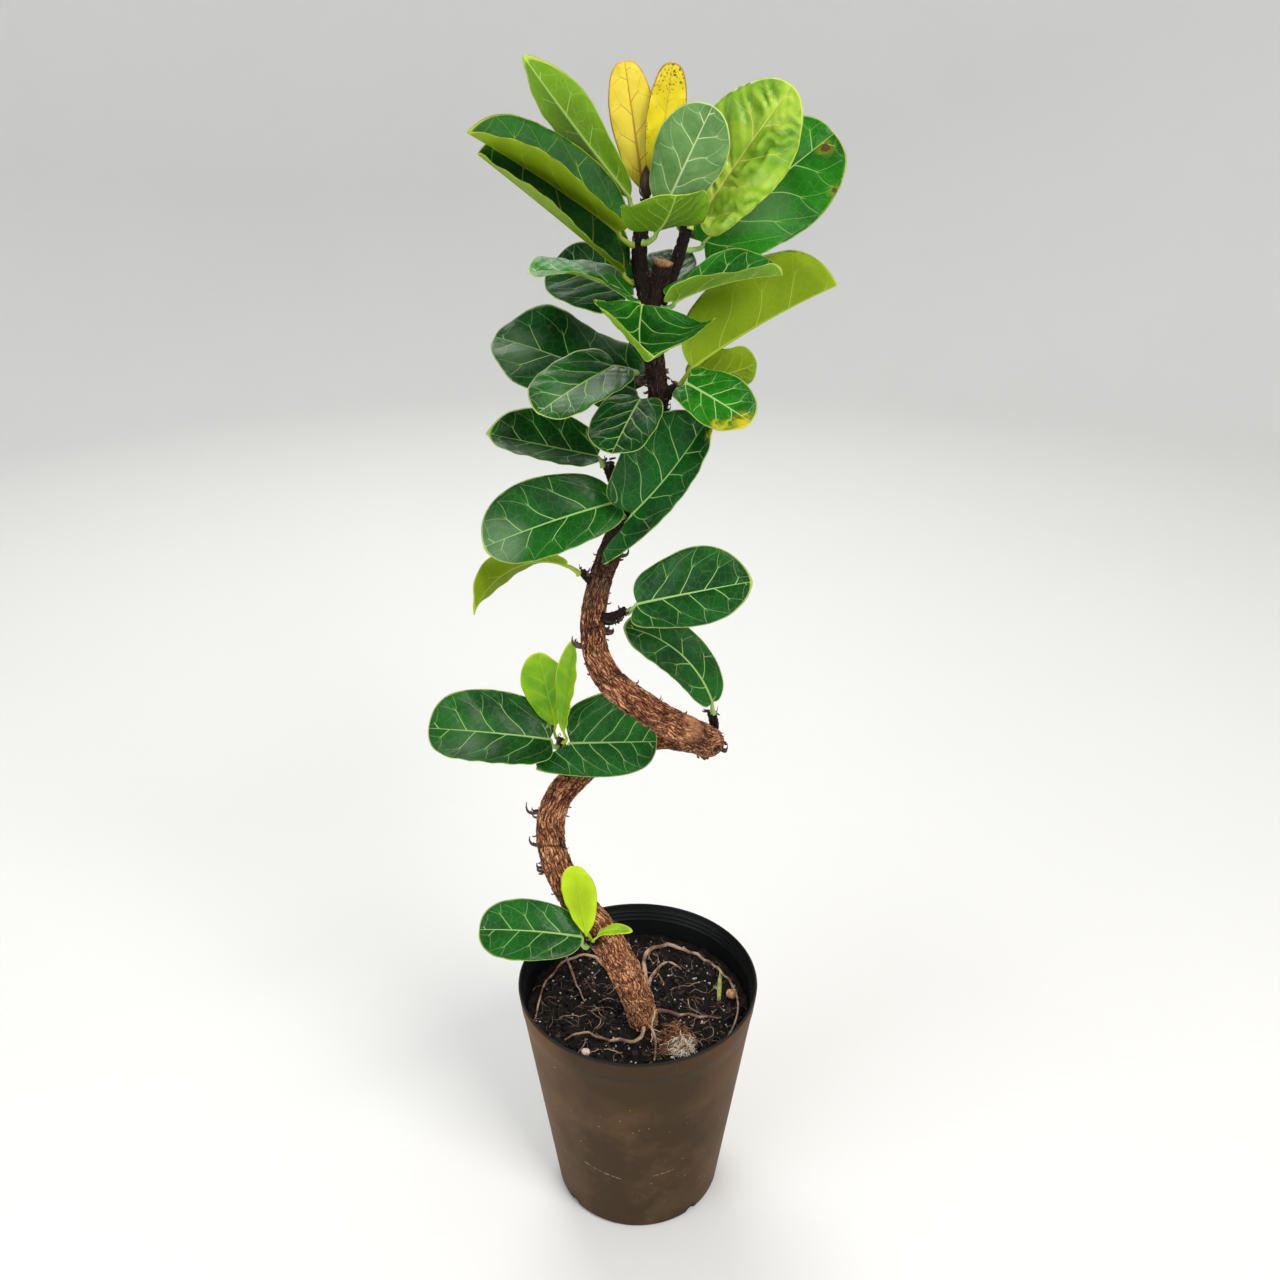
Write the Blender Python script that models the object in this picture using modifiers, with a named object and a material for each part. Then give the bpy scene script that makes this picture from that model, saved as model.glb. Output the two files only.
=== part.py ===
"""Potted fiddle leaf fig of the small-leaved kind, with a trunk trained into a spiral.

Frame: origin on the underside of the pot at its axis, +Z up, the front of the plant towards -Y.
The tables below are in millimetres, and MM turns them into metres.
A bearing is counted in plan, 0 towards +X, 90 towards +Y (the back) and 180 towards -X.
"""
import math
from collections import namedtuple

import bmesh
import bpy
import numpy as np
from mathutils import Vector
from mathutils.bvhtree import BVHTree

MM = 0.001

# Nursery pot
POT_HEIGHT = 215
POT_RIM_RADIUS = 100
POT_BASE_RADIUS = 70.5
POT_WALL = 2.0
POT_CORNER = 5
POT_COLLAR_DEPTH = 19
POT_COLLAR_STEP = 0.6
POT_RIDGE = 0.7
POT_RIDGE_DEPTHS = (7, 11, 15)
POT_SEGMENTS = 40
DRAIN_RADIUS = 5
DRAIN_BEARINGS = (-50, 40, 130, 220)

# Soil
SOIL_BELOW_RIM = 30
SOIL_BOTTOM = 2.4
SOIL_CLOD = 2.2
SOIL_RINGS = 8
SOIL_SEGMENTS = 32
FIT_GAP = 0.3

# Trunk: x, y, z and thickness at stations up the stem, chosen along the spiral
TRUNK_STATIONS = (
    (8, -10, 118, 24), (6, -16, 155, 24), (4, -22, 190, 25), (-7, -33, 241, 26),
    (-30, -33, 291, 25.5), (-55, -19, 322, 24), (-69, 0, 358, 22.5), (-64, 18, 380, 22),
    (-50, 34, 391, 22), (-34, 44, 401, 22), (-12, 50, 411, 22), (14, 50, 420, 22), (40, 34, 427, 22.5),
    (54, 8, 439, 23), (49, -14, 455, 23), (31, -33, 475, 22.5), (3, -41, 498, 21.5),
    (-22, -29, 516, 20.5), (-32, -7, 535, 18.5), (-29, 11, 565, 17.5), (-19, 20, 593, 17),
    (-9, 24, 615, 16), (0, 22, 649, 14.5), (9, 12, 685, 14), (14, 6, 708, 14),
    (12, 2, 730, 13.5), (10, 0, 757, 13), (13, 0, 782, 12), (17, 0, 800, 12.5),
)

# Side shoots and spurs, as stations of the same kind, each starting inside the stem that it grows from
SHOOTS = {
    "crown_left": ((10, 0, 757, 11), (6, 1, 776, 11), (2, 1, 795, 10.5), (2, 2, 815, 9.5),
                   (5, 2, 829, 8), (6, 2, 837, 8)),
    "crown_right": ((12, 0, 768, 10), (19, 5, 782, 9), (26, 11, 799, 8.5), (32, 16, 818, 7.5)),
    "low": ((-29, -36, 290, 9), (-34, -47, 292, 7), (-37, -56, 297, 6)),
    "middle_left": ((-53, 29, 389, 10), (-58, 26, 410, 8), (-60, 20, 434, 7)),
    "middle_right": ((55, 4, 440, 9), (58, 4, 455, 7.5), (56, 4, 467, 7)),
    "upper_right": ((-28, 0, 547, 8), (-16, -7, 553, 7), (-9, -11, 559, 6.5)),
    "upper_left": ((-29, 12, 567, 8), (-36, 10, 575, 6.5), (-40, 9, 581, 6)),
    "fork": ((-10, 23, 612, 11), (-8, 12, 620, 8), (-7, 4, 624, 7)),
    "fork_left": ((-8, 24, 618, 11), (-14, 24, 636, 9), (-21, 21, 658, 8)),
    "knot": ((14, 6, 704, 11), (21, 2, 714, 8), (27, 0, 718, 7)),
}

# Dried stipules that curl off the bark: height of the stem point, bearing, length
STIPULES = (
    (352, 175, 9), (372, 190, 13), (336, 185, 7), (310, 200, 8), (405, -80, 8), (418, -70, 9),
    (432, -60, 8), (442, -40, 8), (452, -60, 7), (530, 160, 11), (545, 0, 8), (538, 5, 7),
    (588, 20, 8), (601, 15, 9), (643, -20, 9), (640, 200, 8), (722, 175, 10), (738, -75, 7),
    (716, 20, 9), (745, 165, 8),
)

# Roots that run over the soil: plan x, y along each, starting inside the trunk, and thickness
ROOTS = (
    (((4, -22), (-12, 14), (-38, 62), (-64, 60), (-82, 24), (-86, -17)), 4.0),
    (((-64, 60), (-55, 28), (-45, 3)), 3.0),
    (((4, -22), (8, 18), (15, 44), (24, 54), (32, 55), (38, 42)), 4.4),
    (((8, 18), (4, 60), (16, 78), (34, 72), (50, 65), (66, 51), (80, 29), (86, 4), (84, -16),
      (74, -40)), 4.2),
    (((4, -22), (22, -12), (43, -16), (70, -17)), 4.0),
    (((4, -22), (6, -46), (-15, -48), (-34, -40), (-48, -31), (-60, -42)), 4.0),
    (((4, -22), (16, -44), (13, -66)), 3.2),
)
ROOT_TAPER = 0.35
ROOT_SPACING = 8
ROOT_COLLAR = 5
STIPULE_ROOT = 2.5

# Bud at the head of the leading shoot, and the stone on the soil
BUD_FOOT = (6, 2, 837.4)
BUD_LENGTH = 20
BUD_WIDTH = 8
BUD_RINGS = 6
PEBBLE_PLACE = (-42, -58)
PEBBLE_SIZE = (8, 6.5, 6)

# Blade and leaf stalk
BLADE_THICKNESS = 0.9
STALK_THICKNESS = 3.4
STALK_RUN = 0.16
BLADE_ROWS = 9
BLADE_COLUMNS = 2
EDGE_EASE = 0.82
RIB_EASE = 1.35
SPREAD_EASE = 1.15
WAIST_DEPTH = 0.06
WAIST_ROW = 0.36
WAIST_REACH = 0.13
LOBE_SKEW = 3

Leaf = namedtuple("Leaf", "name tone joint bearing rise length width roll bend fold cup lobe point "
                          "base skew sweep wave waves drop stalk")


def leaf(name, tone, joint, bearing, rise, length, width, roll=0, bend=0, fold=8, cup=0, lobe=0.2,
         point=0.95, base=0.85, skew=0, sweep=0, wave=2, waves=2.0, drop=8, stalk=1.0):
    """One leaf: where its blade starts, the way it points, its size, and how the blade is curved."""
    return Leaf(name, tone, joint, bearing, rise, length, width, roll, bend, fold, cup, lobe, point,
                base, skew, sweep, wave, waves, drop, stalk)


LEAVES = (
    # Low shoot
    leaf("leaf_low_left", "dark", (-43, -61, 307), 180, 5, 80, 50, roll=-36, bend=40, lobe=0.04,
         drop=15),
    leaf("leaf_low_upright", "lime", (-39, -62, 310), 175, 82, 64, 27, roll=90, bend=10, fold=6, lobe=0,
         wave=0.5, stalk=0.7, drop=4, base=1.3),
    leaf("leaf_low_small", "lime", (-31, -63, 309), -20, 24, 34, 10, roll=20, bend=75, fold=10,
         lobe=0, point=1.2, wave=0.3, stalk=0.6, drop=4),
    # Middle left shoot
    leaf("leaf_middle_left", "dark", (-68, 17, 436), 185, 9, 94, 69, roll=-37, bend=12, cup=16,
         lobe=0.12, wave=2.5),
    leaf("leaf_middle_lime_round", "lime", (-64, 22, 445), 170, 80, 64, 38, roll=-90, fold=10, lobe=0,
         wave=0.5, stalk=0.7, base=1.4),
    leaf("leaf_middle_lime_narrow", "lime", (-57, 8, 447), -6, 82, 80, 22, roll=55, fold=30, lobe=0,
         point=0.9, wave=1, stalk=0.7, base=1.2),
    leaf("leaf_middle_right", "dark", (-52, 13, 435), -3, 3, 67, 68, roll=60, bend=10, lobe=0.38,
         skew=0.2),
    # Spiral's upper turn
    leaf("leaf_arched", "dark", (56, 3, 477), 182, 44, 96, 40, roll=-55, bend=20, sweep=55, lobe=0.1,
         point=1.1, drop=3),
    leaf("leaf_right", "dark", (0, -13, 565), -7, 15, 84, 57, roll=58, bend=14, lobe=0.15, drop=3,
         point=1.4, skew=0.12),
    leaf("leaf_drooping", "olive", (-51, 8, 586), 190, -26, 88, 38, roll=52, bend=105, fold=16, lobe=0.1,
         point=2.4, drop=3),
    leaf("leaf_left_broad", "dark", (-16, 4, 635), 191, -16, 98, 60, roll=-54, bend=34, lobe=0.1,
         point=1.3, fold=14, skew=-0.12),
    leaf("leaf_right_broad", "deep", (-3, -15, 634), -10, 54, 86, 60, roll=62, bend=10, lobe=0.5,
         sweep=20, fold=25, skew=0.2),
    # Below the crown
    leaf("leaf_left_pointed", "dark", (-28, 18, 664), 183, 13, 79, 56, roll=-30, fold=24, point=2.0,
         lobe=0.1, drop=4),
    leaf("leaf_front_round", "deep", (2, -9, 712), -115, -30, 50, 50, roll=0, bend=10, lobe=0.15),
    leaf("leaf_front_left", "dark", (-15, -12, 735), -140, -18, 66, 54, roll=-18, bend=16, point=1.15),
    leaf("leaf_back_left", "deep", (-2, 14, 712), 171, 19, 102, 74, roll=-32, bend=18, wave=6,
         waves=2.5),
    leaf("leaf_right_yellow_edge", "bright", (33, -6, 722), -37, -19, 54, 40, roll=40, bend=14,
         drop=2),
    leaf("leaf_right_olive", "olive", (38, 28, 714), 5, 15, 46, 44, roll=-62, bend=-10, drop=4),
    leaf("leaf_right_large_olive", "olive", (36, 4, 730), 9, 28, 110, 84, roll=-52, fold=40, cup=26,
         bend=14, point=1.1, lobe=0.05),
    # Middle of the crown
    leaf("leaf_front_cup", "bright", (3, -25, 777), -82, -22, 66, 100, fold=38, lobe=0.1, roll=-14,
         bend=-115, point=1.1),
    leaf("leaf_centre_left", "bright", (-5, -10, 780), 188, 14, 68, 52, roll=-6, fold=10, bend=44,
         point=1.15, wave=3),
    leaf("leaf_centre_right", "bright", (24, -16, 778), -3, 14, 70, 46, roll=4, fold=34, bend=25,
         wave=3),
    leaf("leaf_back_dark", "deep", (-7, 13, 777), 148, 13, 61, 54, roll=-40),
    leaf("leaf_back_gap", "deep", (20, 19, 782), 84, 22, 42, 36),
    # Crown, left shoot
    leaf("leaf_crown_left_low", "olive", (-9, 3, 793), 189, 39, 115, 58, roll=-36, fold=46, bend=2,
         lobe=0.05, point=0.75),
    leaf("leaf_crown_left_front", "olive", (-12, -4, 819), 190, 33, 109, 62, roll=-22, fold=46, bend=8,
         lobe=0.1, point=1.5),
    leaf("leaf_crown_tall", "green", (-5, 8, 838), 187, 52, 104, 34, roll=60, fold=20, bend=-8, lobe=0,
         point=1.6),
    leaf("leaf_young_yellow_left", "yellow", (4, 14, 841), 170, 81, 76, 29, roll=-80, fold=10, lobe=0,
         wave=0.5, stalk=0.6, base=1.2, point=0.7),
    leaf("leaf_young_yellow_right", "yellow_speckled", (11, 9, 841), 20, 81, 75, 25, roll=75, fold=12,
         lobe=0, point=0.7, wave=0.5, stalk=0.6, base=1.2),
    leaf("leaf_crown_pale", "pale", (18, -6, 834), -25, 63, 66, 46, roll=100, bend=8, lobe=0.05,
         drop=10),
    leaf("leaf_crown_front", "green", (12, -13, 820), -75, 32, 50, 56, bend=-30, fold=12, wave=5,
         waves=1.5),
    # Crown, right shoot
    leaf("leaf_crown_puckered", "puckered", (41, 9, 826), -12, 55, 94, 64, roll=70, bend=10, wave=4,
         base=1.5),
    leaf("leaf_crown_right_large", "bright", (44, 34, 806), 9, 38, 108, 78, roll=58, bend=14, wave=6,
         drop=10),
)

# Base colour, roughness and metallic value of each finish
FINISHES = {
    "pot_plastic": ((0.045, 0.028, 0.016), 0.42, 0.0),
    "soil": ((0.012, 0.009, 0.007), 0.95, 0.0),
    "bark": ((0.20, 0.085, 0.045), 0.85, 0.0),
    "bud": ((0.02, 0.008, 0.006), 0.5, 0.0),
    "stone": ((0.72, 0.66, 0.58), 0.8, 0.0),
    "dark": ((0.015, 0.09, 0.02), 0.35, 0.0),
    "deep": ((0.008, 0.055, 0.018), 0.38, 0.0),
    "green": ((0.06, 0.22, 0.01), 0.4, 0.0),
    "bright": ((0.03, 0.19, 0.012), 0.35, 0.0),
    "lime": ((0.30, 0.50, 0.01), 0.45, 0.0),
    "olive": ((0.14, 0.19, 0.01), 0.5, 0.0),
    "pale": ((0.18, 0.32, 0.12), 0.45, 0.0),
    "puckered": ((0.28, 0.46, 0.03), 0.4, 0.0),
    "yellow": ((0.68, 0.55, 0.04), 0.45, 0.0),
    "yellow_speckled": ((0.60, 0.55, 0.01), 0.45, 0.0),
}


def clear_scene():
    for item in list(bpy.data.objects):
        bpy.data.objects.remove(item, do_unlink=True)


def new_collection(name):
    collection = bpy.data.collections.new(name)
    bpy.context.scene.collection.children.link(collection)
    return collection


def finish_material(name):
    if name in bpy.data.materials:
        return bpy.data.materials[name]
    colour, roughness, metallic = FINISHES[name]
    material = bpy.data.materials.new(name)
    material.use_nodes = True
    shader = material.node_tree.nodes["Principled BSDF"]
    shader.inputs["Base Color"].default_value = (*colour, 1.0)
    shader.inputs["Roughness"].default_value = roughness
    shader.inputs["Metallic"].default_value = metallic
    return material


def add_object(name, data, collection):
    item = bpy.data.objects.new(name, data)
    collection.objects.link(item)
    return item


def mesh_from(item):
    """A plain mesh of what the object's modifiers or curve settings make, with its caps joined."""
    depsgraph = bpy.context.evaluated_depsgraph_get()
    mesh = bpy.data.meshes.new_from_object(item.evaluated_get(depsgraph))
    work = bmesh.new()
    work.from_mesh(mesh)
    bmesh.ops.remove_doubles(work, verts=work.verts, dist=MM * MM)
    bmesh.ops.recalc_face_normals(work, faces=work.faces)
    work.to_mesh(mesh)
    work.free()
    return mesh


def replace_with_mesh(item, collection):
    """Swap a curve, or an object with modifiers, for a mesh object of the same name."""
    mesh = mesh_from(item)
    name = item.name
    bpy.data.objects.remove(item, do_unlink=True)
    return add_object(name, mesh, collection)


def fused(item, others, collection):
    """Join the others to the item with one Boolean union, and remove them."""
    union = bpy.data.collections.new("union")
    for other in others:
        union.objects.link(other)
    boolean = item.modifiers.new("union", "BOOLEAN")
    boolean.operation = "UNION"
    boolean.operand_type = "COLLECTION"
    boolean.collection = union
    joined = replace_with_mesh(item, collection)
    for other in others:
        bpy.data.objects.remove(other, do_unlink=True)
    bpy.data.collections.remove(union)
    return joined


def difference(item, cutter):
    boolean = item.modifiers.new("cut", "BOOLEAN")
    boolean.operation = "DIFFERENCE"
    boolean.object = cutter
    cutter.hide_render = True
    cutter.display_type = "WIRE"


def smooth(item, angle=40):
    item.data.shade_smooth()
    item.data.set_sharp_from_angle(angle=math.radians(angle))


def tube(name, stations, collection, sides_step, steps=3, grow=0.0):
    """A round stem through the stations, each x, y, z and thickness in millimetres."""
    curve = bpy.data.curves.new(name, "CURVE")
    curve.dimensions = "3D"
    curve.bevel_depth = MM / 2
    curve.bevel_resolution = sides_step
    curve.use_fill_caps = True
    curve.resolution_u = steps
    spline = curve.splines.new("BEZIER")
    spline.bezier_points.add(len(stations) - 1)
    for knot, (x, y, z, thickness) in zip(spline.bezier_points, stations):
        knot.co = (x * MM, y * MM, z * MM)
        knot.handle_left_type = "AUTO"
        knot.handle_right_type = "AUTO"
        knot.radius = thickness + grow
    return add_object(name, curve, collection)


def turned(name, profile, collection, segments):
    """A body of revolution from radius and height pairs that run down the outer side."""
    mesh = bpy.data.meshes.new(name)
    points = [(radius * MM, 0.0, height * MM) for radius, height in profile]
    mesh.from_pydata(points, [(i, i + 1) for i in range(len(points) - 1)], [])
    item = add_object(name, mesh, collection)
    screw = item.modifiers.new("turn", "SCREW")
    screw.steps = segments
    screw.render_steps = segments
    screw.use_merge_vertices = True
    screw.merge_threshold = 0.00001
    screw.use_smooth_shade = True
    return item


def pot_radius(height):
    """Outer radius of the plain tapered wall."""
    return POT_BASE_RADIUS + (POT_RIM_RADIUS - POT_BASE_RADIUS) * height / POT_HEIGHT


def make_pot(parts, cutters):
    collar = POT_HEIGHT - POT_COLLAR_DEPTH
    profile = [(0, POT_WALL), (pot_radius(0) - POT_WALL - POT_CORNER / 2, POT_WALL),
               (pot_radius(POT_CORNER) - POT_WALL, POT_CORNER + 1)]
    for depth in reversed(POT_RIDGE_DEPTHS):
        inner = pot_radius(POT_HEIGHT - depth) - POT_WALL
        profile += [(inner, POT_HEIGHT - depth - 1), (inner - POT_RIDGE, POT_HEIGHT - depth),
                    (inner, POT_HEIGHT - depth + 1)]
    profile += [(POT_RIM_RADIUS - POT_WALL, POT_HEIGHT - 1), (POT_RIM_RADIUS - POT_WALL / 2, POT_HEIGHT),
                (POT_RIM_RADIUS, POT_HEIGHT - 1), (POT_RIM_RADIUS, POT_HEIGHT - 3),
                (pot_radius(collar) + POT_COLLAR_STEP, collar + 1), (pot_radius(collar), collar)]
    for step in range(4):
        angle = math.radians(90 * step / 3)
        profile.append((pot_radius(POT_CORNER) - POT_CORNER + POT_CORNER * math.cos(angle),
                        POT_CORNER - POT_CORNER * math.sin(angle)))
    profile.append((0, 0))
    pot = turned("pot", profile, parts, POT_SEGMENTS)
    pot = replace_with_mesh(pot, parts)
    drains = [drain_cutter(index, bearing, cutters) for index, bearing in enumerate(DRAIN_BEARINGS)]
    for drain in drains:
        difference(pot, drain)
    smooth(pot)
    pot.data.materials.append(finish_material("pot_plastic"))
    return pot


def drain_cutter(index, bearing, cutters):
    """A round hole that slants out through the bottom corner of the pot."""
    mesh = bpy.data.meshes.new(f"drain_{index}")
    work = bmesh.new()
    bmesh.ops.create_cone(work, cap_ends=True, segments=12, radius1=DRAIN_RADIUS * MM,
                          radius2=DRAIN_RADIUS * MM, depth=24 * MM)
    work.to_mesh(mesh)
    work.free()
    cutter = add_object(f"drain_{index}", mesh, cutters)
    reach = POT_BASE_RADIUS - 1
    angle = math.radians(bearing)
    cutter.location = (reach * MM * math.cos(angle), reach * MM * math.sin(angle), 2 * MM)
    cutter.rotation_euler = (0, math.radians(120), angle)
    return cutter


def soil_height(x, y):
    """Level of the soil, with low waves for its lumps, heaped a little round the trunk."""
    level = POT_HEIGHT - SOIL_BELOW_RIM
    lumps = math.sin(0.21 * x + 1.3) * math.sin(0.19 * y + 0.4) + 0.6 * math.sin(0.37 * x - 0.29 * y)
    heap = 3.0 * math.exp(-((x - 4) ** 2 + (y + 22) ** 2) / 900)
    return level + SOIL_CLOD * lumps / 1.6 + heap


def make_soil(parts, cutters):
    work = bmesh.new()
    rows = []
    level = POT_HEIGHT - SOIL_BELOW_RIM
    rim = pot_radius(level) - POT_WALL - FIT_GAP
    lower = pot_radius(POT_CORNER) - POT_WALL - FIT_GAP - 2
    for ring in range(1, SOIL_RINGS + 1):
        reach = rim * ring / SOIL_RINGS
        row = []
        for step in range(SOIL_SEGMENTS):
            angle = math.tau * step / SOIL_SEGMENTS
            x = reach * math.cos(angle)
            y = reach * math.sin(angle)
            height = level if ring == SOIL_RINGS else soil_height(x, y)
            row.append(work.verts.new((x * MM, y * MM, height * MM)))
        rows.append(row)
    bottom = []
    for step in range(SOIL_SEGMENTS):
        angle = math.tau * step / SOIL_SEGMENTS
        bottom.append(work.verts.new((lower * math.cos(angle) * MM, lower * math.sin(angle) * MM,
                                      (POT_CORNER + 3) * MM)))
    rows.append(bottom)
    top = work.verts.new((0, 0, soil_height(0, 0) * MM))
    foot = work.verts.new((0, 0, (SOIL_BOTTOM + 2) * MM))
    for step in range(SOIL_SEGMENTS):
        after = (step + 1) % SOIL_SEGMENTS
        work.faces.new((top, rows[0][step], rows[0][after]))
        work.faces.new((foot, bottom[after], bottom[step]))
        for inner, outer in zip(rows, rows[1:]):
            work.faces.new((inner[step], outer[step], outer[after], inner[after]))
    bmesh.ops.recalc_face_normals(work, faces=work.faces)
    mesh = bpy.data.meshes.new("soil")
    work.to_mesh(mesh)
    work.free()
    soil = add_object("soil", mesh, parts)
    x, y, z, thickness = TRUNK_STATIONS[0]
    stations = ((x, y, z - 2 * FIT_GAP, thickness), *TRUNK_STATIONS[1:6])
    hole = replace_with_mesh(tube("trunk_hole", stations, cutters, 4, steps=2, grow=2 * FIT_GAP), cutters)
    difference(soil, hole)
    smooth(soil, 60)
    soil.data.materials.append(finish_material("soil"))
    return soil


def bark_surface(item):
    work = bmesh.new()
    work.from_mesh(item.data)
    tree = BVHTree.FromBMesh(work)
    work.free()
    return tree


def spaced(points, spacing):
    """Points at even steps along straight runs between the given plan points, corners rounded off."""
    path = [Vector(points[0])]
    for before, after in zip(points, points[1:]):
        run = Vector(after) - Vector(before)
        count = max(1, round(run.length / spacing))
        path += [Vector(before) + run * (step + 1) / count for step in range(count)]
    for _ in range(3):
        inner = [(a + b * 2 + c) / 4 for a, b, c in zip(path, path[1:], path[2:])]
        path = [path[0], *inner, path[-1]]
    return path


def root_stations(points, thickness, ground, level_start):
    """Lay a root on the soil: each station clears the highest soil under its width."""
    path = spaced(points, ROOT_SPACING)
    stations = []
    for index, place in enumerate(path):
        share = index / (len(path) - 1)
        size = thickness * (1 - (1 - ROOT_TAPER) * share)
        height = 0.0
        for step in range(8):
            angle = math.tau * step / 8
            x = place.x + ROOT_SPACING * math.cos(angle)
            y = place.y + ROOT_SPACING * math.sin(angle)
            height = max(height, ground(x, y))
        z = height + size / 2 + FIT_GAP
        if level_start:
            z += ROOT_COLLAR * max(0.0, 1 - share * len(path) / 4)
        stations.append((place.x, place.y, z, size))
    return stations


def soil_probe(soil):
    """A function of plan x and y that gives the soil's level there, holes bridged."""
    work = bmesh.new()
    work.from_mesh(mesh_from(soil))
    tree = BVHTree.FromBMesh(work)
    work.free()

    def ground(x, y):
        hit = tree.ray_cast(Vector((x * MM, y * MM, 1.0)), Vector((0, 0, -1)))[0]
        level = POT_HEIGHT - SOIL_BELOW_RIM
        return max(level - 2, hit.z / MM) if hit else level
    return ground


def make_trunk(parts, soil):
    """The spiral trunk with its side shoots, dried stipules and surface roots, grown as one piece."""
    trunk = replace_with_mesh(tube("trunk", TRUNK_STATIONS, parts, 4, steps=2), parts)
    bark = bark_surface(trunk)
    grown = []
    for name, stations in SHOOTS.items():
        grown.append(replace_with_mesh(tube(f"shoot_{name}", stations, parts, 2, steps=2), parts))
    for index, (height, bearing, length) in enumerate(STIPULES):
        grown.append(make_stipule(index, height, bearing, length, bark, parts))
    ground = soil_probe(soil)
    for index, (points, thickness) in enumerate(ROOTS):
        from_trunk = points[0] == ROOTS[0][0][0]
        stations = root_stations(points, thickness, ground, from_trunk)
        grown.append(replace_with_mesh(tube(f"root_{index}", stations, parts, 1, steps=1), parts))
    trunk = fused(trunk, grown, parts)
    smooth(trunk)
    trunk.data.materials.append(finish_material("bark"))
    return trunk


def make_stipule(index, height, bearing, length, bark, parts):
    """A thin dried scale that stands off the bark and curls up at its end."""
    angle = math.radians(bearing)
    outward = Vector((math.cos(angle), math.sin(angle), 0))
    centre = stem_centre(height)
    hit = bark.ray_cast(centre, outward)[0]
    start = hit - outward * STIPULE_ROOT * MM
    middle = hit + (outward * 0.55 + Vector((0, 0, -0.15))) * length * MM
    end = hit + (outward * 0.8 + Vector((0, 0, 0.45))) * length * MM
    stations = [(*(point / MM), size) for point, size in ((start, 2.2), (middle, 1.5), (end, 0.7))]
    return replace_with_mesh(tube(f"stipule_{index}", stations, parts, 0, steps=2), parts)


def stem_centre(height):
    """Centre of the trunk at a height, on straight runs between its stations."""
    for (x0, y0, z0, _), (x1, y1, z1, _) in zip(TRUNK_STATIONS, TRUNK_STATIONS[1:]):
        if z0 <= height <= z1:
            share = (height - z0) / (z1 - z0)
            return Vector((x0 + (x1 - x0) * share, y0 + (y1 - y0) * share, height)) * MM
    raise ValueError("no station of the trunk is at this height")


def leaf_frame(spec):
    """Axes of a leaf: along its chord, across it and out of its upper face."""
    bearing = math.radians(spec.bearing)
    rise = math.radians(spec.rise)
    roll = math.radians(spec.roll)
    along = np.array((math.cos(bearing) * math.cos(rise), math.sin(bearing) * math.cos(rise),
                      math.sin(rise)))
    level = np.array((-math.cos(bearing) * math.sin(rise), -math.sin(bearing) * math.sin(rise),
                      math.cos(rise)))
    side = np.cross(level, along)
    across = math.cos(roll) * side + math.sin(roll) * level
    face = -math.sin(roll) * side + math.cos(roll) * level
    return along, across, face


def midrib(spec, reach):
    """The rib's points at shares of its length, in the leaf's own axes, with its slope and swing."""
    shares = np.linspace(-0.4, 1.0, 141)
    slope = math.radians(spec.bend) * (0.5 - shares)
    swing = math.radians(spec.sweep) * (shares - 0.5)
    steps = np.stack((np.cos(slope) * np.cos(swing), np.sin(swing), np.sin(slope) * np.cos(swing)), 1)
    path = np.cumsum(steps, axis=0) * (shares[1] - shares[0]) * spec.length
    start = [np.interp(0.0, shares, path[:, axis]) for axis in range(3)]
    path -= np.array(start)
    place = np.stack([np.interp(reach, shares, path[:, axis]) for axis in range(3)], -1)
    return place, np.interp(reach, shares, slope), np.interp(reach, shares, swing)


def leaf_surface(spec, row, column):
    """Points of the blade: row runs 0 to 1 from stalk to tip, column -1 to 1 across the margins."""
    turn = math.pi * (1 - row)
    spread = np.abs(column)
    side = np.sign(column)
    blunt = spec.base + (spec.point - spec.base) * row
    lobe = spec.lobe * (1 - LOBE_SKEW * spec.skew * side)
    edge_reach = ((1 + np.cos(turn)) / 2) ** EDGE_EASE
    edge_reach = edge_reach - lobe * np.sin(turn) * ((1 - np.cos(turn)) / 2) ** 2 * 2
    half = spec.width / 2 * (1 + spec.skew * side) * np.clip(np.sin(turn), 0, 1) ** blunt
    half = half * (1 - WAIST_DEPTH * np.exp(-((row - WAIST_ROW) / WAIST_REACH) ** 2))
    rib_reach = row ** RIB_EASE
    reach = rib_reach + (edge_reach - rib_reach) * spread ** SPREAD_EASE
    out = half * spread
    share = out / (spec.width / 2)
    lift = np.radians(spec.fold + spec.cup * share)
    sideways = side * out * np.cos(lift)
    raised = out * np.sin(lift)
    phase = np.where(column > 0, 0.15, 0.6)
    raised = raised + spec.wave * spread ** 2 * np.sin(math.tau * (spec.waves * row + phase)) * np.sin(turn)
    place, slope, swing = midrib(spec, reach)
    normal = np.stack((-np.sin(slope), 0 * slope, np.cos(slope)), -1)
    beside = np.stack((-np.sin(swing) * np.cos(slope), np.cos(swing), -np.sin(swing) * np.sin(slope)), -1)
    local = place + sideways[..., None] * beside + raised[..., None] * normal
    frame = np.stack(leaf_frame(spec))
    return (np.array(spec.joint) + local @ frame) * MM


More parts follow.
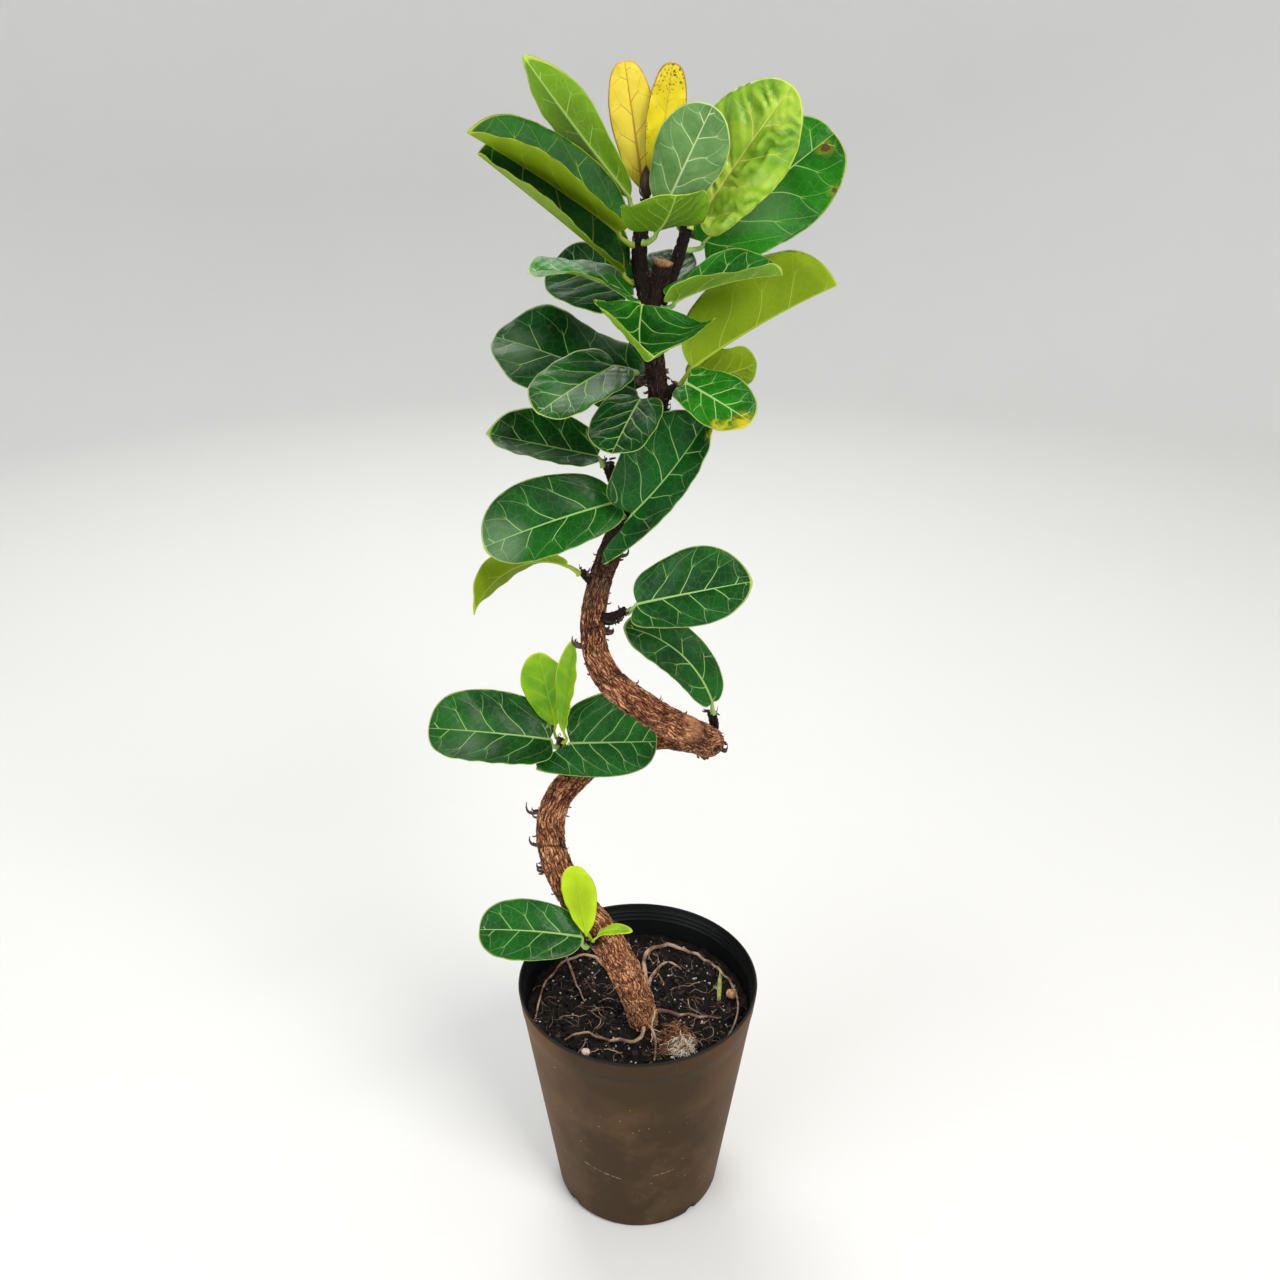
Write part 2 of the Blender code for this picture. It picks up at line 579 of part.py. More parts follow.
def blade_mesh(spec):
    """The blade as a sheet of triangles, a fan of rows between the stalk's joint and the tip."""
    rows = np.linspace(0, 1, BLADE_ROWS + 1)[1:-1]
    columns = np.linspace(-1, 1, 2 * BLADE_COLUMNS + 1)
    grid_row, grid_column = np.meshgrid(rows, columns, indexing="ij")
    points = leaf_surface(spec, grid_row, grid_column).reshape(-1, 3)
    ends = leaf_surface(spec, np.array((0.0, 1.0)), np.array((0.0, 0.0)))
    count = len(columns)
    joint = len(points)
    tip = joint + 1
    faces = []
    for side in range(count - 1):
        faces.append((joint, side + 1, side))
        last = (len(rows) - 1) * count + side
        faces.append((tip, last, last + 1))
        for index in range(len(rows) - 1):
            near = index * count + side
            far = near + count
            if side < BLADE_COLUMNS:
                faces += [(near, near + 1, far + 1), (near, far + 1, far)]
            else:
                faces += [(near, near + 1, far), (near + 1, far + 1, far)]
    mesh = bpy.data.meshes.new(spec.name)
    mesh.from_pydata([tuple(point) for point in (*points, *ends)], [], faces)
    return mesh


def make_leaf(spec, parts, bark):
    """A blade with its stalk, which stands a hair's breadth off the stem that bears it."""
    blade = add_object(spec.name, blade_mesh(spec), parts)
    shell = blade.modifiers.new("thickness", "SOLIDIFY")
    shell.thickness = BLADE_THICKNESS * MM
    shell.offset = 0
    blade = replace_with_mesh(blade, parts)
    joint = Vector(spec.joint) * MM
    hold, normal, _, _ = bark.find_nearest(joint - Vector((0, 0, spec.drop * MM)))
    start = hold + normal * FIT_GAP * MM
    run = leaf_surface(spec, np.array((0.0, STALK_RUN)), np.array((0.0, 0.0)))
    under = -Vector(leaf_frame(spec)[2]) * BLADE_THICKNESS * MM
    entry = Vector(run[0]) + under
    finish = Vector(run[1]) + under
    size = STALK_THICKNESS * spec.stalk
    foot = start + normal * size * 0.6 * MM
    bow = foot.lerp(entry, 0.5) + normal * (entry - foot).length * 0.15
    stations = [(*(point / MM), share * size) for point, share in
                ((start, 1.1), (foot, 1.0), (bow, 0.9), (entry, 0.85), (finish, 0.4))]
    stalk = replace_with_mesh(tube("stalk", stations, parts, 1, steps=1), parts)
    blade = fused(blade, [stalk], parts)
    smooth(blade, 60)
    blade.data.materials.append(finish_material(spec.tone))
    return blade


def make_bud(parts):
    """The pointed sheath of the leading shoot, between the two youngest leaves."""
    profile = [(0, BUD_LENGTH)]
    for step in range(1, BUD_RINGS):
        share = 1 - step / BUD_RINGS
        width = BUD_WIDTH / 2 * math.sin(math.pi * (0.12 + 0.88 * (1 - share))) ** 0.8
        profile.append((max(width, 0.6), BUD_LENGTH * share))
    profile += [(BUD_WIDTH * 0.2, 0), (0, 0)]
    bud = turned("terminal_bud", profile, parts, 12)
    bud.location = Vector(BUD_FOOT) * MM
    smooth(bud)
    bud.data.materials.append(finish_material("bud"))
    return bud


def make_pebble(parts, ground):
    """A pale stone that lies on the soil on its flat side."""
    mesh = bpy.data.meshes.new("pebble")
    work = bmesh.new()
    bmesh.ops.create_icosphere(work, subdivisions=2, radius=1.0)
    for vert in work.verts:
        wobble = 1 + 0.08 * math.sin(5 * vert.co.x + 3 * vert.co.y)
        vert.co = Vector((vert.co.x * PEBBLE_SIZE[0] * wobble, vert.co.y * PEBBLE_SIZE[1],
                          max(vert.co.z, -0.6) * PEBBLE_SIZE[2])) * MM / 2
    work.to_mesh(mesh)
    work.free()
    pebble = add_object("pebble", mesh, parts)
    x, y = PEBBLE_PLACE
    level = max(ground(x + dx, y + dy) for dx in (-4, 0, 4) for dy in (-4, 0, 4))
    pebble.location = (x * MM, y * MM, (level + FIT_GAP + 0.3 * PEBBLE_SIZE[2]) * MM)
    smooth(pebble)
    pebble.data.materials.append(finish_material("stone"))
    return pebble


def main():
    clear_scene()
    parts = new_collection("potted_fiddle_leaf_fig")
    cutters = new_collection("cutters")
    make_pot(parts, cutters)
    soil = make_soil(parts, cutters)
    trunk = make_trunk(parts, soil)
    bark = bark_surface(trunk)
    make_bud(parts)
    make_pebble(parts, soil_probe(soil))
    for spec in LEAVES:
        make_leaf(spec, parts, bark)


main()
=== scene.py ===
"""Looks of a potted fiddle leaf fig with a spiral trunk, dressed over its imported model.

The sections follow the plant as it is put together: pot, soil, trunk, dried scales, roots, what
lies on the soil, the bud and the leaves, and last the plain stage it is shown on.
Lengths are in millimetres, and MM turns them into metres. The front of the plant faces -Y.
"""
import math
import random
from collections import namedtuple
from functools import partial

import bmesh
import bpy
import numpy as np
from mathutils import Matrix, Vector, noise
from mathutils.bvhtree import BVHTree


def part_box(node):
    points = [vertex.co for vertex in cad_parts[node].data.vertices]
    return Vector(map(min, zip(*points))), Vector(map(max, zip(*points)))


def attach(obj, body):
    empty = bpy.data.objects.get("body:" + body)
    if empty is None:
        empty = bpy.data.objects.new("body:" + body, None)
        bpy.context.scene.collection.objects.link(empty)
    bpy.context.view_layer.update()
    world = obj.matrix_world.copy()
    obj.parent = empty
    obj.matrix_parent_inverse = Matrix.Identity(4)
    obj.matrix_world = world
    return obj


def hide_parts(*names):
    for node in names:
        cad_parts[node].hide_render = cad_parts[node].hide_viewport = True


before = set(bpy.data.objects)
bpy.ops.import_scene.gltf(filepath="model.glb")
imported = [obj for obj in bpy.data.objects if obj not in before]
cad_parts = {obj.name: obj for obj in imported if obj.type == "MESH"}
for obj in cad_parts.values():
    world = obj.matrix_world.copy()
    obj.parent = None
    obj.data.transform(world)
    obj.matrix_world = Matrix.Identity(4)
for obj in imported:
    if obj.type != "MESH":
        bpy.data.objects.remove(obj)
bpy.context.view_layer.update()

# Nursery pot
# One thin moulded shell of dark brown plastic with a shallow collar, fine ridges inside its rim and
# drain holes in its bottom corner. It is scuffed and dusty outside. Its inside is painted nearly black
# as painted shade, its left and right sides are painted lighter and warmer as painted light, and
# painted shade darkens the collar's edge and the drain holes.
MM = 0.001
POT_HEIGHT = 215
POT_RIM_RADIUS = 100
POT_BASE_RADIUS = 70.5
POT_WALL = 2.0
POT_DRAFT = 0.2
POT_CORNER = 5
POT_COLLAR_DEPTH = 19
POT_COLLAR_STAND = 0.5
POT_RIDGE_DEPTHS = (7, 11, 15)
POT_RIDGE = 0.7
POT_SEGMENTS = 180
DRAIN_RADIUS = 5
DRAIN_BEARINGS = (-50, 40, 130, 220)
DRAIN_TILT = 120
DRAIN_LENGTH = 24
DRAIN_SHADE_REACH = 8.5
POT_BROWN = (0.040, 0.023, 0.009)
# Warm brown of random patches, also used for the painted light on the pot's left and right sides
POT_WARM_AND_SIDE_LIGHT = (0.175, 0.080, 0.028)
POT_FILM = (0.100, 0.062, 0.030)
POT_DUST = (0.36, 0.26, 0.16)
# Near black of the rim's lip, also used for painted shade at the collar's edge and the drain holes
POT_RIM_AND_SHADE = (0.008, 0.007, 0.006)
# Painted shade of the pot's inside wall
POT_INSIDE_SHADE = (0.004, 0.005, 0.005)
SCRATCH_WIDTH = 0.7
# Bearing, height, half its width in degrees, slope and strength of each scratch
SCRATCHES = ((-112, 70, 14, -0.32, 0.9), (-75, 72, 8, 0.25, 0.7))


class Wire:
    """A node's output that takes part in sums: each operator adds the Math node that it stands for."""

    def __init__(self, tree, socket):
        self.tree = tree
        self.socket = socket

    def __add__(self, other):
        return self.tree.math("ADD", self, other)

    def __radd__(self, other):
        return self.tree.math("ADD", other, self)

    def __sub__(self, other):
        return self.tree.math("SUBTRACT", self, other)

    def __rsub__(self, other):
        return self.tree.math("SUBTRACT", other, self)

    def __mul__(self, other):
        return self.tree.math("MULTIPLY", self, other)

    def __rmul__(self, other):
        return self.tree.math("MULTIPLY", other, self)

    def __truediv__(self, other):
        return self.tree.math("DIVIDE", self, other)

    def __rtruediv__(self, other):
        return self.tree.math("DIVIDE", other, self)

    def __abs__(self):
        return self.tree.math("ABSOLUTE", self)

    def least(self, other):
        return self.tree.math("MINIMUM", self, other)

    def most(self, other):
        return self.tree.math("MAXIMUM", self, other)


class Tree:
    """A node tree of a material or of a growth, and the one way to add a node to it."""

    def __init__(self, nodes, links):
        self.nodes = nodes
        self.links = links

    def node(self, kind, sockets=None, output=0, stops=None, **settings):
        node = self.nodes.new(kind)
        for name, value in settings.items():
            setattr(node, name, value)
        if stops:
            ramp = node.color_ramp.elements
            while len(ramp) < len(stops):
                ramp.new(1.0)
            for element, (position, colour) in zip(ramp, stops):
                element.position = position
                element.color = (*colour, 1.0)
        for key, value in (sockets or {}).items():
            if isinstance(value, Wire):
                self.links.new(value.socket, node.inputs[key])
            else:
                node.inputs[key].default_value = value
        return Wire(self, node.outputs[output]) if node.outputs else None

    def math(self, operation, *values):
        return self.node("ShaderNodeMath", dict(enumerate(values)), operation=operation)

    def object_point(self):
        return self.node("ShaderNodeTexCoord", output="Object")

    def parts(self, vector):
        split = self.node("ShaderNodeSeparateXYZ", {0: vector}).socket.node
        return [Wire(self, socket) for socket in split.outputs]

    def joined(self, x, y, z):
        return self.node("ShaderNodeCombineXYZ", {0: x, 1: y, 2: z})

    def attribute(self, name, output="Vector"):
        return self.node("ShaderNodeAttribute", output=output, attribute_name=name)

    def mottle(self, vector, scale, detail=3.0, roughness=0.55):
        return self.node("ShaderNodeTexNoise", {"Vector": vector, "Scale": scale, "Detail": detail,
                                                "Roughness": roughness})

    def mottle_colour(self, vector, scale, detail=2.0):
        return self.node("ShaderNodeTexNoise", {"Vector": vector, "Scale": scale, "Detail": detail},
                         output="Color")

    def cells(self, vector, scale, feature="F1", output=0):
        return self.node("ShaderNodeTexVoronoi", {"Vector": vector, "Scale": scale}, output, feature=feature)

    def vector(self, operation, *values, output=0):
        return self.node("ShaderNodeVectorMath", dict(enumerate(values)), output, operation=operation)

    def scaled(self, vector, factor):
        return self.node("ShaderNodeVectorMath", {0: vector, "Scale": factor}, operation="SCALE")

    def ease(self, value, low, high):
        """0 where the value is at low and 1 at high, eased between; low may be above high."""
        return self.node("ShaderNodeMapRange", {0: value, 1: low, 2: high}, interpolation_type="SMOOTHSTEP")

    def blend(self, factor, first, second):
        """A colour between two colours."""
        ends = [value if isinstance(value, Wire) else (*value, 1.0) for value in (first, second)]
        return self.node("ShaderNodeMix", {0: factor, 6: ends[0], 7: ends[1]}, output=2, data_type="RGBA")

    def ramp(self, value, *stops):
        return self.node("ShaderNodeValToRGB", {0: value}, stops=stops)


class Paint(Tree):
    """The node tree of a new material."""

    def __init__(self, name):
        self.material = bpy.data.materials.new(name + "_finish")
        self.material.use_nodes = True
        self.material.node_tree.nodes.clear()
        super().__init__(self.material.node_tree.nodes, self.material.node_tree.links)

    def stain_distance(self, point, place):
        """Distance in millimetres from a point to a place."""
        return self.vector("DISTANCE", point, metres(place), output="Value") / MM

    def finish(self, colour, roughness, height=None, bump=0.3, distance=0.4, coat=0.0, shine=0.5):
        """Close the material: its colour, roughness and relief feed one Principled shader."""
        sockets = {"Base Color": colour, "Roughness": roughness, "Coat Weight": coat,
                   "Specular IOR Level": shine}
        if height is not None:
            sockets["Normal"] = self.node("ShaderNodeBump", {"Strength": bump, "Distance": distance * MM,
                                                             "Height": height})
        shader = self.node("ShaderNodeBsdfPrincipled", sockets)
        self.node("ShaderNodeOutputMaterial", {"Surface": shader})
        return self.material


def metres(point):
    return tuple(value * MM for value in point)


def linked(name, data):
    """A new object in the scene."""
    item = bpy.data.objects.new(name, data)
    bpy.context.scene.collection.objects.link(item)
    return item


def settled(name, work):
    """The mesh of finished mesh work, which is then let go."""
    mesh = bpy.data.meshes.new(name)
    work.to_mesh(mesh)
    work.free()
    return mesh


def faced_out(mesh, merged=False):
    """Turn a mesh's faces outwards, once its doubles are merged if that is asked."""
    work = bmesh.new()
    work.from_mesh(mesh)
    if merged:
        bmesh.ops.remove_doubles(work, verts=work.verts, dist=MM * MM)
    bmesh.ops.recalc_face_normals(work, faces=work.faces)
    work.to_mesh(mesh)
    work.free()
    return mesh


def plain_mesh(item):
    """The mesh that an object's modifiers make."""
    depsgraph = bpy.context.evaluated_depsgraph_get()
    evaluated = item.evaluated_get(depsgraph)
    return bpy.data.meshes.new_from_object(evaluated, preserve_all_data_layers=True, depsgraph=depsgraph)


def show(name, mesh, node, material):
    """Put a finished mesh in the scene on the plant's body, in place of its node."""
    mesh.name = name
    mesh.materials.clear()
    mesh.materials.append(material)
    piece = linked(name, mesh)
    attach(piece, "root")
    if node:
        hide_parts(node)
    return piece


def turned(profile, segments):
    """A smooth body of revolution from radius and height pairs that run down the outer side."""
    mesh = bpy.data.meshes.new("turned")
    mesh.from_pydata([metres((radius, 0, height)) for radius, height in profile],
                     [(index, index + 1) for index in range(len(profile) - 1)], [])
    item = linked("turned", mesh)
    screw = item.modifiers.new("turn", "SCREW")
    screw.steps = segments
    screw.render_steps = segments
    screw.use_merge_vertices = True
    screw.merge_threshold = MM * 0.01
    body = plain_mesh(item)
    bpy.data.objects.remove(item, do_unlink=True)
    return faced_out(body, merged=True)


def pot_radius(height):
    """Outer radius of the plain tapered wall."""
    return POT_BASE_RADIUS + (POT_RIM_RADIUS - POT_BASE_RADIUS) * height / POT_HEIGHT


def arc(across, up, radius, first, last, steps):
    """Points of a profile along an arc, from one angle in degrees to another."""
    angles = [math.radians(first + (last - first) * step / steps) for step in range(steps + 1)]
    return [(across + radius * math.cos(angle), up + radius * math.sin(angle)) for angle in angles]


def pot_profile():
    """Half section of the shell: up its inside from the axis, over the lip and down its outside."""
    corner = pot_radius(POT_CORNER) - POT_CORNER
    inner = POT_WALL + POT_DRAFT
    profile = [(0, POT_WALL), (pot_radius(0) - inner - POT_CORNER, POT_WALL)]
    profile += arc(corner - inner, POT_WALL + POT_CORNER, POT_CORNER, -90, 0, 4)
    for depth in reversed(POT_RIDGE_DEPTHS):
        wall = pot_radius(POT_HEIGHT - depth) - POT_WALL
        for drop, stand in ((1, 0), (0.2, POT_RIDGE), (-0.2, POT_RIDGE), (-1, 0)):
            profile.append((wall - stand, POT_HEIGHT - depth - drop))
    profile += arc(POT_RIM_RADIUS - POT_WALL / 2, POT_HEIGHT - POT_WALL / 2, POT_WALL / 2, 180, 0, 6)
    collar = POT_HEIGHT - POT_COLLAR_DEPTH
    profile += [(pot_radius(collar + 2) + POT_COLLAR_STAND, collar + 2),
                (pot_radius(collar) + 0.9 * POT_COLLAR_STAND, collar + 0.6),
                (pot_radius(collar) + 0.2 * POT_COLLAR_STAND, collar)]
    profile += [(pot_radius(height), height) for height in range(collar - 15, 20, -15)]
    profile += arc(corner, POT_CORNER, POT_CORNER, 0, -90, 8)
    return profile + [(0, 0)]


def drilled(mesh):
    """Cut the drain holes, which slant out through the bottom corner."""
    pot = linked("drilled", mesh)
    drills = []
    for bearing in DRAIN_BEARINGS:
        angle = math.radians(bearing)
        work = bmesh.new()
        bmesh.ops.create_cone(work, cap_ends=True, segments=32, radius1=DRAIN_RADIUS * MM,
                              radius2=DRAIN_RADIUS * MM, depth=DRAIN_LENGTH * MM)
        place = (Matrix.Rotation(angle, 4, "Z") @ Matrix.Translation(metres((POT_BASE_RADIUS - 1, 0, 2)))
                 @ Matrix.Rotation(math.radians(DRAIN_TILT), 4, "Y"))
        bmesh.ops.transform(work, matrix=place, verts=work.verts)
        drill = linked("drill", settled("drill", work))
        cut = pot.modifiers.new("drain", "BOOLEAN")
        cut.operation = "DIFFERENCE"
        cut.object = drill
        drills.append(drill)
    body = plain_mesh(pot)
    for item in (pot, *drills):
        bpy.data.objects.remove(item, do_unlink=True)
    return body


def pot_paint():
    tree = Paint("pot_plastic")
    point = tree.object_point()
    x, y, z = tree.parts(point)
    around = tree.math("ARCTAN2", y, x) * (180 / math.pi)
    radius = tree.math("SQRT", x * x + y * y)
    wall = POT_BASE_RADIUS * MM + z * ((POT_RIM_RADIUS - POT_BASE_RADIUS) / POT_HEIGHT)
    inside = tree.ease(wall - radius, 0.9 * MM, 1.3 * MM)
    clouds = tree.mottle(point, 14, 6, 0.65)
    film = tree.mottle(point, 75, 6, 0.7)
    # Painted light: the left and right sides of the pot are painted lighter and warmer, as light falls there,
    # on top of warm patches at random
    warm_and_side_light = tree.ease(abs(x), 35 * MM, 95 * MM) * 0.55 + clouds * 1.1 - 0.55
    colour = tree.blend(warm_and_side_light.most(0.0).least(1.0), POT_BROWN, POT_WARM_AND_SIDE_LIGHT)
    muddy = tree.ease(film * 0.6 + clouds * 0.4, 0.46, 0.66) * tree.ease(z, 185 * MM, 120 * MM)
    colour = tree.blend(muddy * 0.45, colour, POT_FILM)
    specks = tree.ease(tree.cells(point, 120), 0.10, 0.05) * tree.ease(tree.mottle(point, 30), 0.5, 0.62)
    for bearing, height, spread, slope, strength in SCRATCHES:
        off = around - bearing
        line = z / MM - height - off * slope - tree.mottle(point, 25) * 3
        mark = tree.ease(abs(line), SCRATCH_WIDTH, 0.15) * tree.ease(abs(off), spread, spread * 0.6)
        specks = specks.most(mark * tree.ease(tree.mottle(point, 260), 0.4, 0.6) * strength * 1.6)
    colour = tree.blend((specks * 0.7).least(0.9), colour, POT_DUST)
    # Painted shade: a dark line along the collar's edge, where its step shades the wall
    collar = tree.ease(abs(z / MM - (POT_HEIGHT - POT_COLLAR_DEPTH)), 1.4, 0.3)
    colour = tree.blend(collar * 0.45, colour, POT_RIM_AND_SHADE)
    # Painted shade in and round each drain hole, which shows as a dark opening
    for bearing in DRAIN_BEARINGS:
        angle = math.radians(bearing)
        hole = (POT_BASE_RADIUS * math.cos(angle), POT_BASE_RADIUS * math.sin(angle), 3)
        near = tree.stain_distance(point, hole)
        hole_shade = tree.ease(near + (film - 0.5) * 5, DRAIN_SHADE_REACH, DRAIN_SHADE_REACH * 0.7)
        colour = tree.blend(hole_shade * 0.9, colour, POT_RIM_AND_SHADE)
    lip = tree.ease(z, (POT_HEIGHT - 3.2) * MM, (POT_HEIGHT - 1.6) * MM)
    colour = tree.blend(lip * 0.85, colour, POT_RIM_AND_SHADE)
    # Painted shade: the inside wall above the soil is painted nearly black
    colour = tree.blend(inside, colour, POT_INSIDE_SHADE)
    grain = tree.mottle(point, 900, 2) * 0.4 + film
    return tree.finish(colour, 0.50 + film * 0.22 - inside * 0.16, grain, 0.25, 0.3, shine=0.14)


pot_mesh = drilled(turned(pot_profile(), POT_SEGMENTS))
pot_mesh.shade_smooth()
pot_mesh.set_sharp_from_angle(angle=math.radians(40))
show("nursery_pot", pot_mesh, "pot", pot_paint())

# Soil
# Coarse black peat mix with lumps of bark and white perlite grains, heaped a little round the stem.
# It fills the pot to a thumb's width under the rim.
SOIL_BELOW_RIM = 30
SOIL_BOTTOM = 2.4
SOIL_CLOD = 2.2
SOIL_RINGS = 96
SOIL_SEGMENTS = 260
SOIL_HEAP = 3.0
SOIL_HEAP_REACH = 30
TRUNK_FOOT = (4, -22)
FIT_GAP = 0.3
PEAT = (0.003, 0.0025, 0.002)
PEAT_BROWN = (0.020, 0.011, 0.006)
PEAT_GREY = (0.040, 0.034, 0.027)


def soil_level(x, y):
    """Level of the soil without its crumbs, as the plain soil body has it."""
    lumps = math.sin(0.21 * x + 1.3) * math.sin(0.19 * y + 0.4) + 0.6 * math.sin(0.37 * x - 0.29 * y)
    apart = math.dist((x, y), TRUNK_FOOT)
    heap = SOIL_HEAP * math.exp(-(apart / SOIL_HEAP_REACH) ** 2)
    return POT_HEIGHT - SOIL_BELOW_RIM + SOIL_CLOD * lumps / 1.6 + heap


def crumbled(x, y):
    """Level of the soil with its lumps and crumbs."""
    place = Vector((x, y, 0))
    lumps = noise.noise(place / 9) * 1.6 + noise.noise(place / 3.6) * 1.3
    pits = abs(noise.noise(place / 2.2 + Vector((7, 0, 0)))) * 1.8
    return soil_level(x, y) + lumps - pits + noise.noise(place / 1.2) * 0.5


def soil_mesh():
    """Rings of crumbled soil round the axis, closed by a wall that narrows down to the pot's floor."""
    rim = pot_radius(POT_HEIGHT - SOIL_BELOW_RIM) - POT_WALL - FIT_GAP
    foot = pot_radius(SOIL_BOTTOM) - POT_WALL - 2
    points = [(0, 0, crumbled(0, 0))]
    for ring in range(1, SOIL_RINGS + 1):
        for step in range(SOIL_SEGMENTS):
            angle = math.tau * step / SOIL_SEGMENTS
            x = rim * ring / SOIL_RINGS * math.cos(angle)
            y = rim * ring / SOIL_RINGS * math.sin(angle)
            points.append((x, y, crumbled(x, y)))
    for step in range(SOIL_SEGMENTS):
        angle = math.tau * step / SOIL_SEGMENTS
        points.append((foot * math.cos(angle), foot * math.sin(angle), SOIL_BOTTOM))
    points.append((0, 0, SOIL_BOTTOM))
    faces = []
    for step in range(SOIL_SEGMENTS):
        after = (step + 1) % SOIL_SEGMENTS
        faces.append((0, 1 + step, 1 + after))
        for ring in range(SOIL_RINGS):
            near = 1 + ring * SOIL_SEGMENTS
            far = near + SOIL_SEGMENTS
            faces.append((near + step, far + step, far + after, near + after))
        last = 1 + SOIL_RINGS * SOIL_SEGMENTS
        faces.append((last + after, last + step, len(points) - 1))
    mesh = bpy.data.meshes.new("soil_body")
    mesh.from_pydata([metres(point) for point in points], [], faces)
    mesh.shade_smooth()
    return mesh


def peat_paint():
    tree = Paint("peat")
    point = tree.object_point()
    crumbs = tree.cells(point, 420)
    flecks = tree.mottle(point, 160, 4)
    colour = tree.blend(tree.ease(flecks, 0.45, 0.75), PEAT, PEAT_BROWN)
    colour = tree.blend(tree.ease(tree.mottle(point, 700, 2), 0.6, 0.78) * 0.7, colour, PEAT_GREY)
    return tree.finish(colour, 0.75 + flecks * 0.2, crumbs + flecks, 0.8, 1.2, shine=0.2)


peat = peat_paint()
soil_piece = show("potting_soil", soil_mesh(), "soil", peat)

# Crumbs, perlite and fibres
# Loose lumps of bark, white perlite grains and short pale fibres of the mix, which lie on the soil
# and are pressed a little into it. They are strewn over the soil's top by one growth each.
PERLITE_WHITE = (0.62, 0.60, 0.54)
CHIP_BROWN = (0.045, 0.024, 0.013)
FIBRE_TAN = (0.26, 0.17, 0.10)
TUFT_BROWN_PLACE = (29, -43)
TUFT_BROWN_REACH = 16
TUFT_PALE_PLACE = (36, -50)
TUFT_PALE_REACH = 11
HALVES = (0.5, 0.5, 0.5)
STEM_CLEARANCE = 13
STEEPEST_TOP = 0.05


def grain_paint(name, dark, light, scale, roughness=0.85):
    tree = Paint(name)
    point = tree.object_point()
    patches = tree.mottle(point, scale, 4)
    colour = tree.blend(tree.ease(patches, 0.35, 0.65), dark, light)
    return tree.finish(colour, roughness, tree.mottle(point, scale * 6, 3), 0.6, 0.3)


class Growth(Tree):
    """A Geometry Nodes tree with named inputs."""

    def __init__(self, name, **inputs):
        self.group = bpy.data.node_groups.new(name, "GeometryNodeTree")
        super().__init__(self.group.nodes, self.group.links)
        face = self.group.interface
        face.new_socket("Geometry", in_out="INPUT", socket_type="NodeSocketGeometry")
        for label, kind in inputs.items():
            face.new_socket(label, in_out="INPUT", socket_type=kind)
        face.new_socket("Geometry", in_out="OUTPUT", socket_type="NodeSocketGeometry")
        self.entry = self.group.nodes.new("NodeGroupInput")

    def input(self, label):
        return Wire(self, self.entry.outputs[label])

    def strewn(self, copied, scale, rotation):
        """Copies of a geometry, strewn over the surface that comes in."""
        points = self.node("GeometryNodeDistributePointsOnFaces",
                           {"Mesh": self.input("Geometry"), "Density": self.input("Density"),
                            "Seed": self.input("Seed")})
        return self.node("GeometryNodeInstanceOnPoints", {"Points": points, "Instance": copied,
                                                          "Scale": scale, "Rotation": rotation})

    def drawn(self, low, high, seed):
        """A random number for each point."""
        return self.node("FunctionNodeRandomValue", {2: low, 3: high, "Seed": seed}, output=1)

    def drawn_turn(self, low, high, seed):
        """A random rotation for each point."""
        return self.node("FunctionNodeRandomValue", {0: low, 1: high, "Seed": seed}, data_type="FLOAT_VECTOR")

    def keep(self, geometry, name, value, kind="FLOAT"):
        """The geometry with a value kept on its points under a name."""
        return self.node("GeometryNodeStoreNamedAttribute",
                         {"Geometry": geometry, "Name": name, "Value": value}, data_type=kind, domain="POINT")

    def kept(self, name):
        return self.node("GeometryNodeInputNamedAttribute", {"Name": name}, data_type="FLOAT")

    def close(self, geometry):
        """Make instances real, give them their material and end the tree."""
        real = self.node("GeometryNodeRealizeInstances", {0: geometry})
        painted = self.node("GeometryNodeSetMaterial", {"Geometry": real, "Material": self.input("Material")})
        self.node("NodeGroupOutput", {0: painted})
        return self


def grown(growth, source, **values):
    """Run a growth on a mesh or curve, and give the plain mesh that it makes."""
    carrier = linked("carrier", source)
    modifier = carrier.modifiers.new("growth", "NODES")
    modifier.node_group = growth.group
    for item in growth.group.interface.items_tree:
        if item.in_out == "INPUT" and item.name in values:
            modifier[item.identifier] = values[item.name]
    mesh = plain_mesh(carrier)
    bpy.data.objects.remove(carrier, do_unlink=True)
    return mesh


def soil_top(reach, centre=(0, 0)):
    """The part of the soil's upper face that lies within a reach of a centre, clear of the stem."""
    work = bmesh.new()
    work.from_mesh(soil_piece.data)
    away = []
    for face in work.faces:
        place = face.calc_center_median().xy / MM
        far = math.dist(place, centre) > reach
        stem = math.dist(place, TRUNK_FOOT) < STEM_CLEARANCE
        if far or stem or face.normal.z < STEEPEST_TOP:
            away.append(face)
    bmesh.ops.delete(work, geom=away, context="FACES")
    return settled("soil_top", work)


def strewn_growth():
    """Rough grains strewn over a surface, each turned and squashed at random."""
    growth = Growth("strewn", Density="NodeSocketFloat", Smallest="NodeSocketFloat",
                    Largest="NodeSocketFloat", Flatness="NodeSocketFloat", Seed="NodeSocketInt",
                    Material="NodeSocketMaterial")
    grain = growth.node("GeometryNodeMeshIcoSphere", {"Radius": 1.0, "Subdivisions": 2})
    place = growth.node("GeometryNodeInputPosition")
    rough = growth.mottle_colour(place, 0.9, 1.0)
    push = growth.scaled(growth.vector("SUBTRACT", rough, HALVES), 1.5)
    grain = growth.node("GeometryNodeSetPosition", {"Geometry": grain, "Offset": push})
    size = growth.drawn(growth.input("Smallest"), growth.input("Largest"), growth.input("Seed"))
    scale = growth.joined(size * growth.drawn(0.6, 1.5, 7), size, size * growth.input("Flatness"))
    turn = growth.drawn_turn((0.0, 0.0, 0.0), (0.9, 0.9, math.tau), 3)
    return growth.close(growth.strewn(grain, scale, turn))


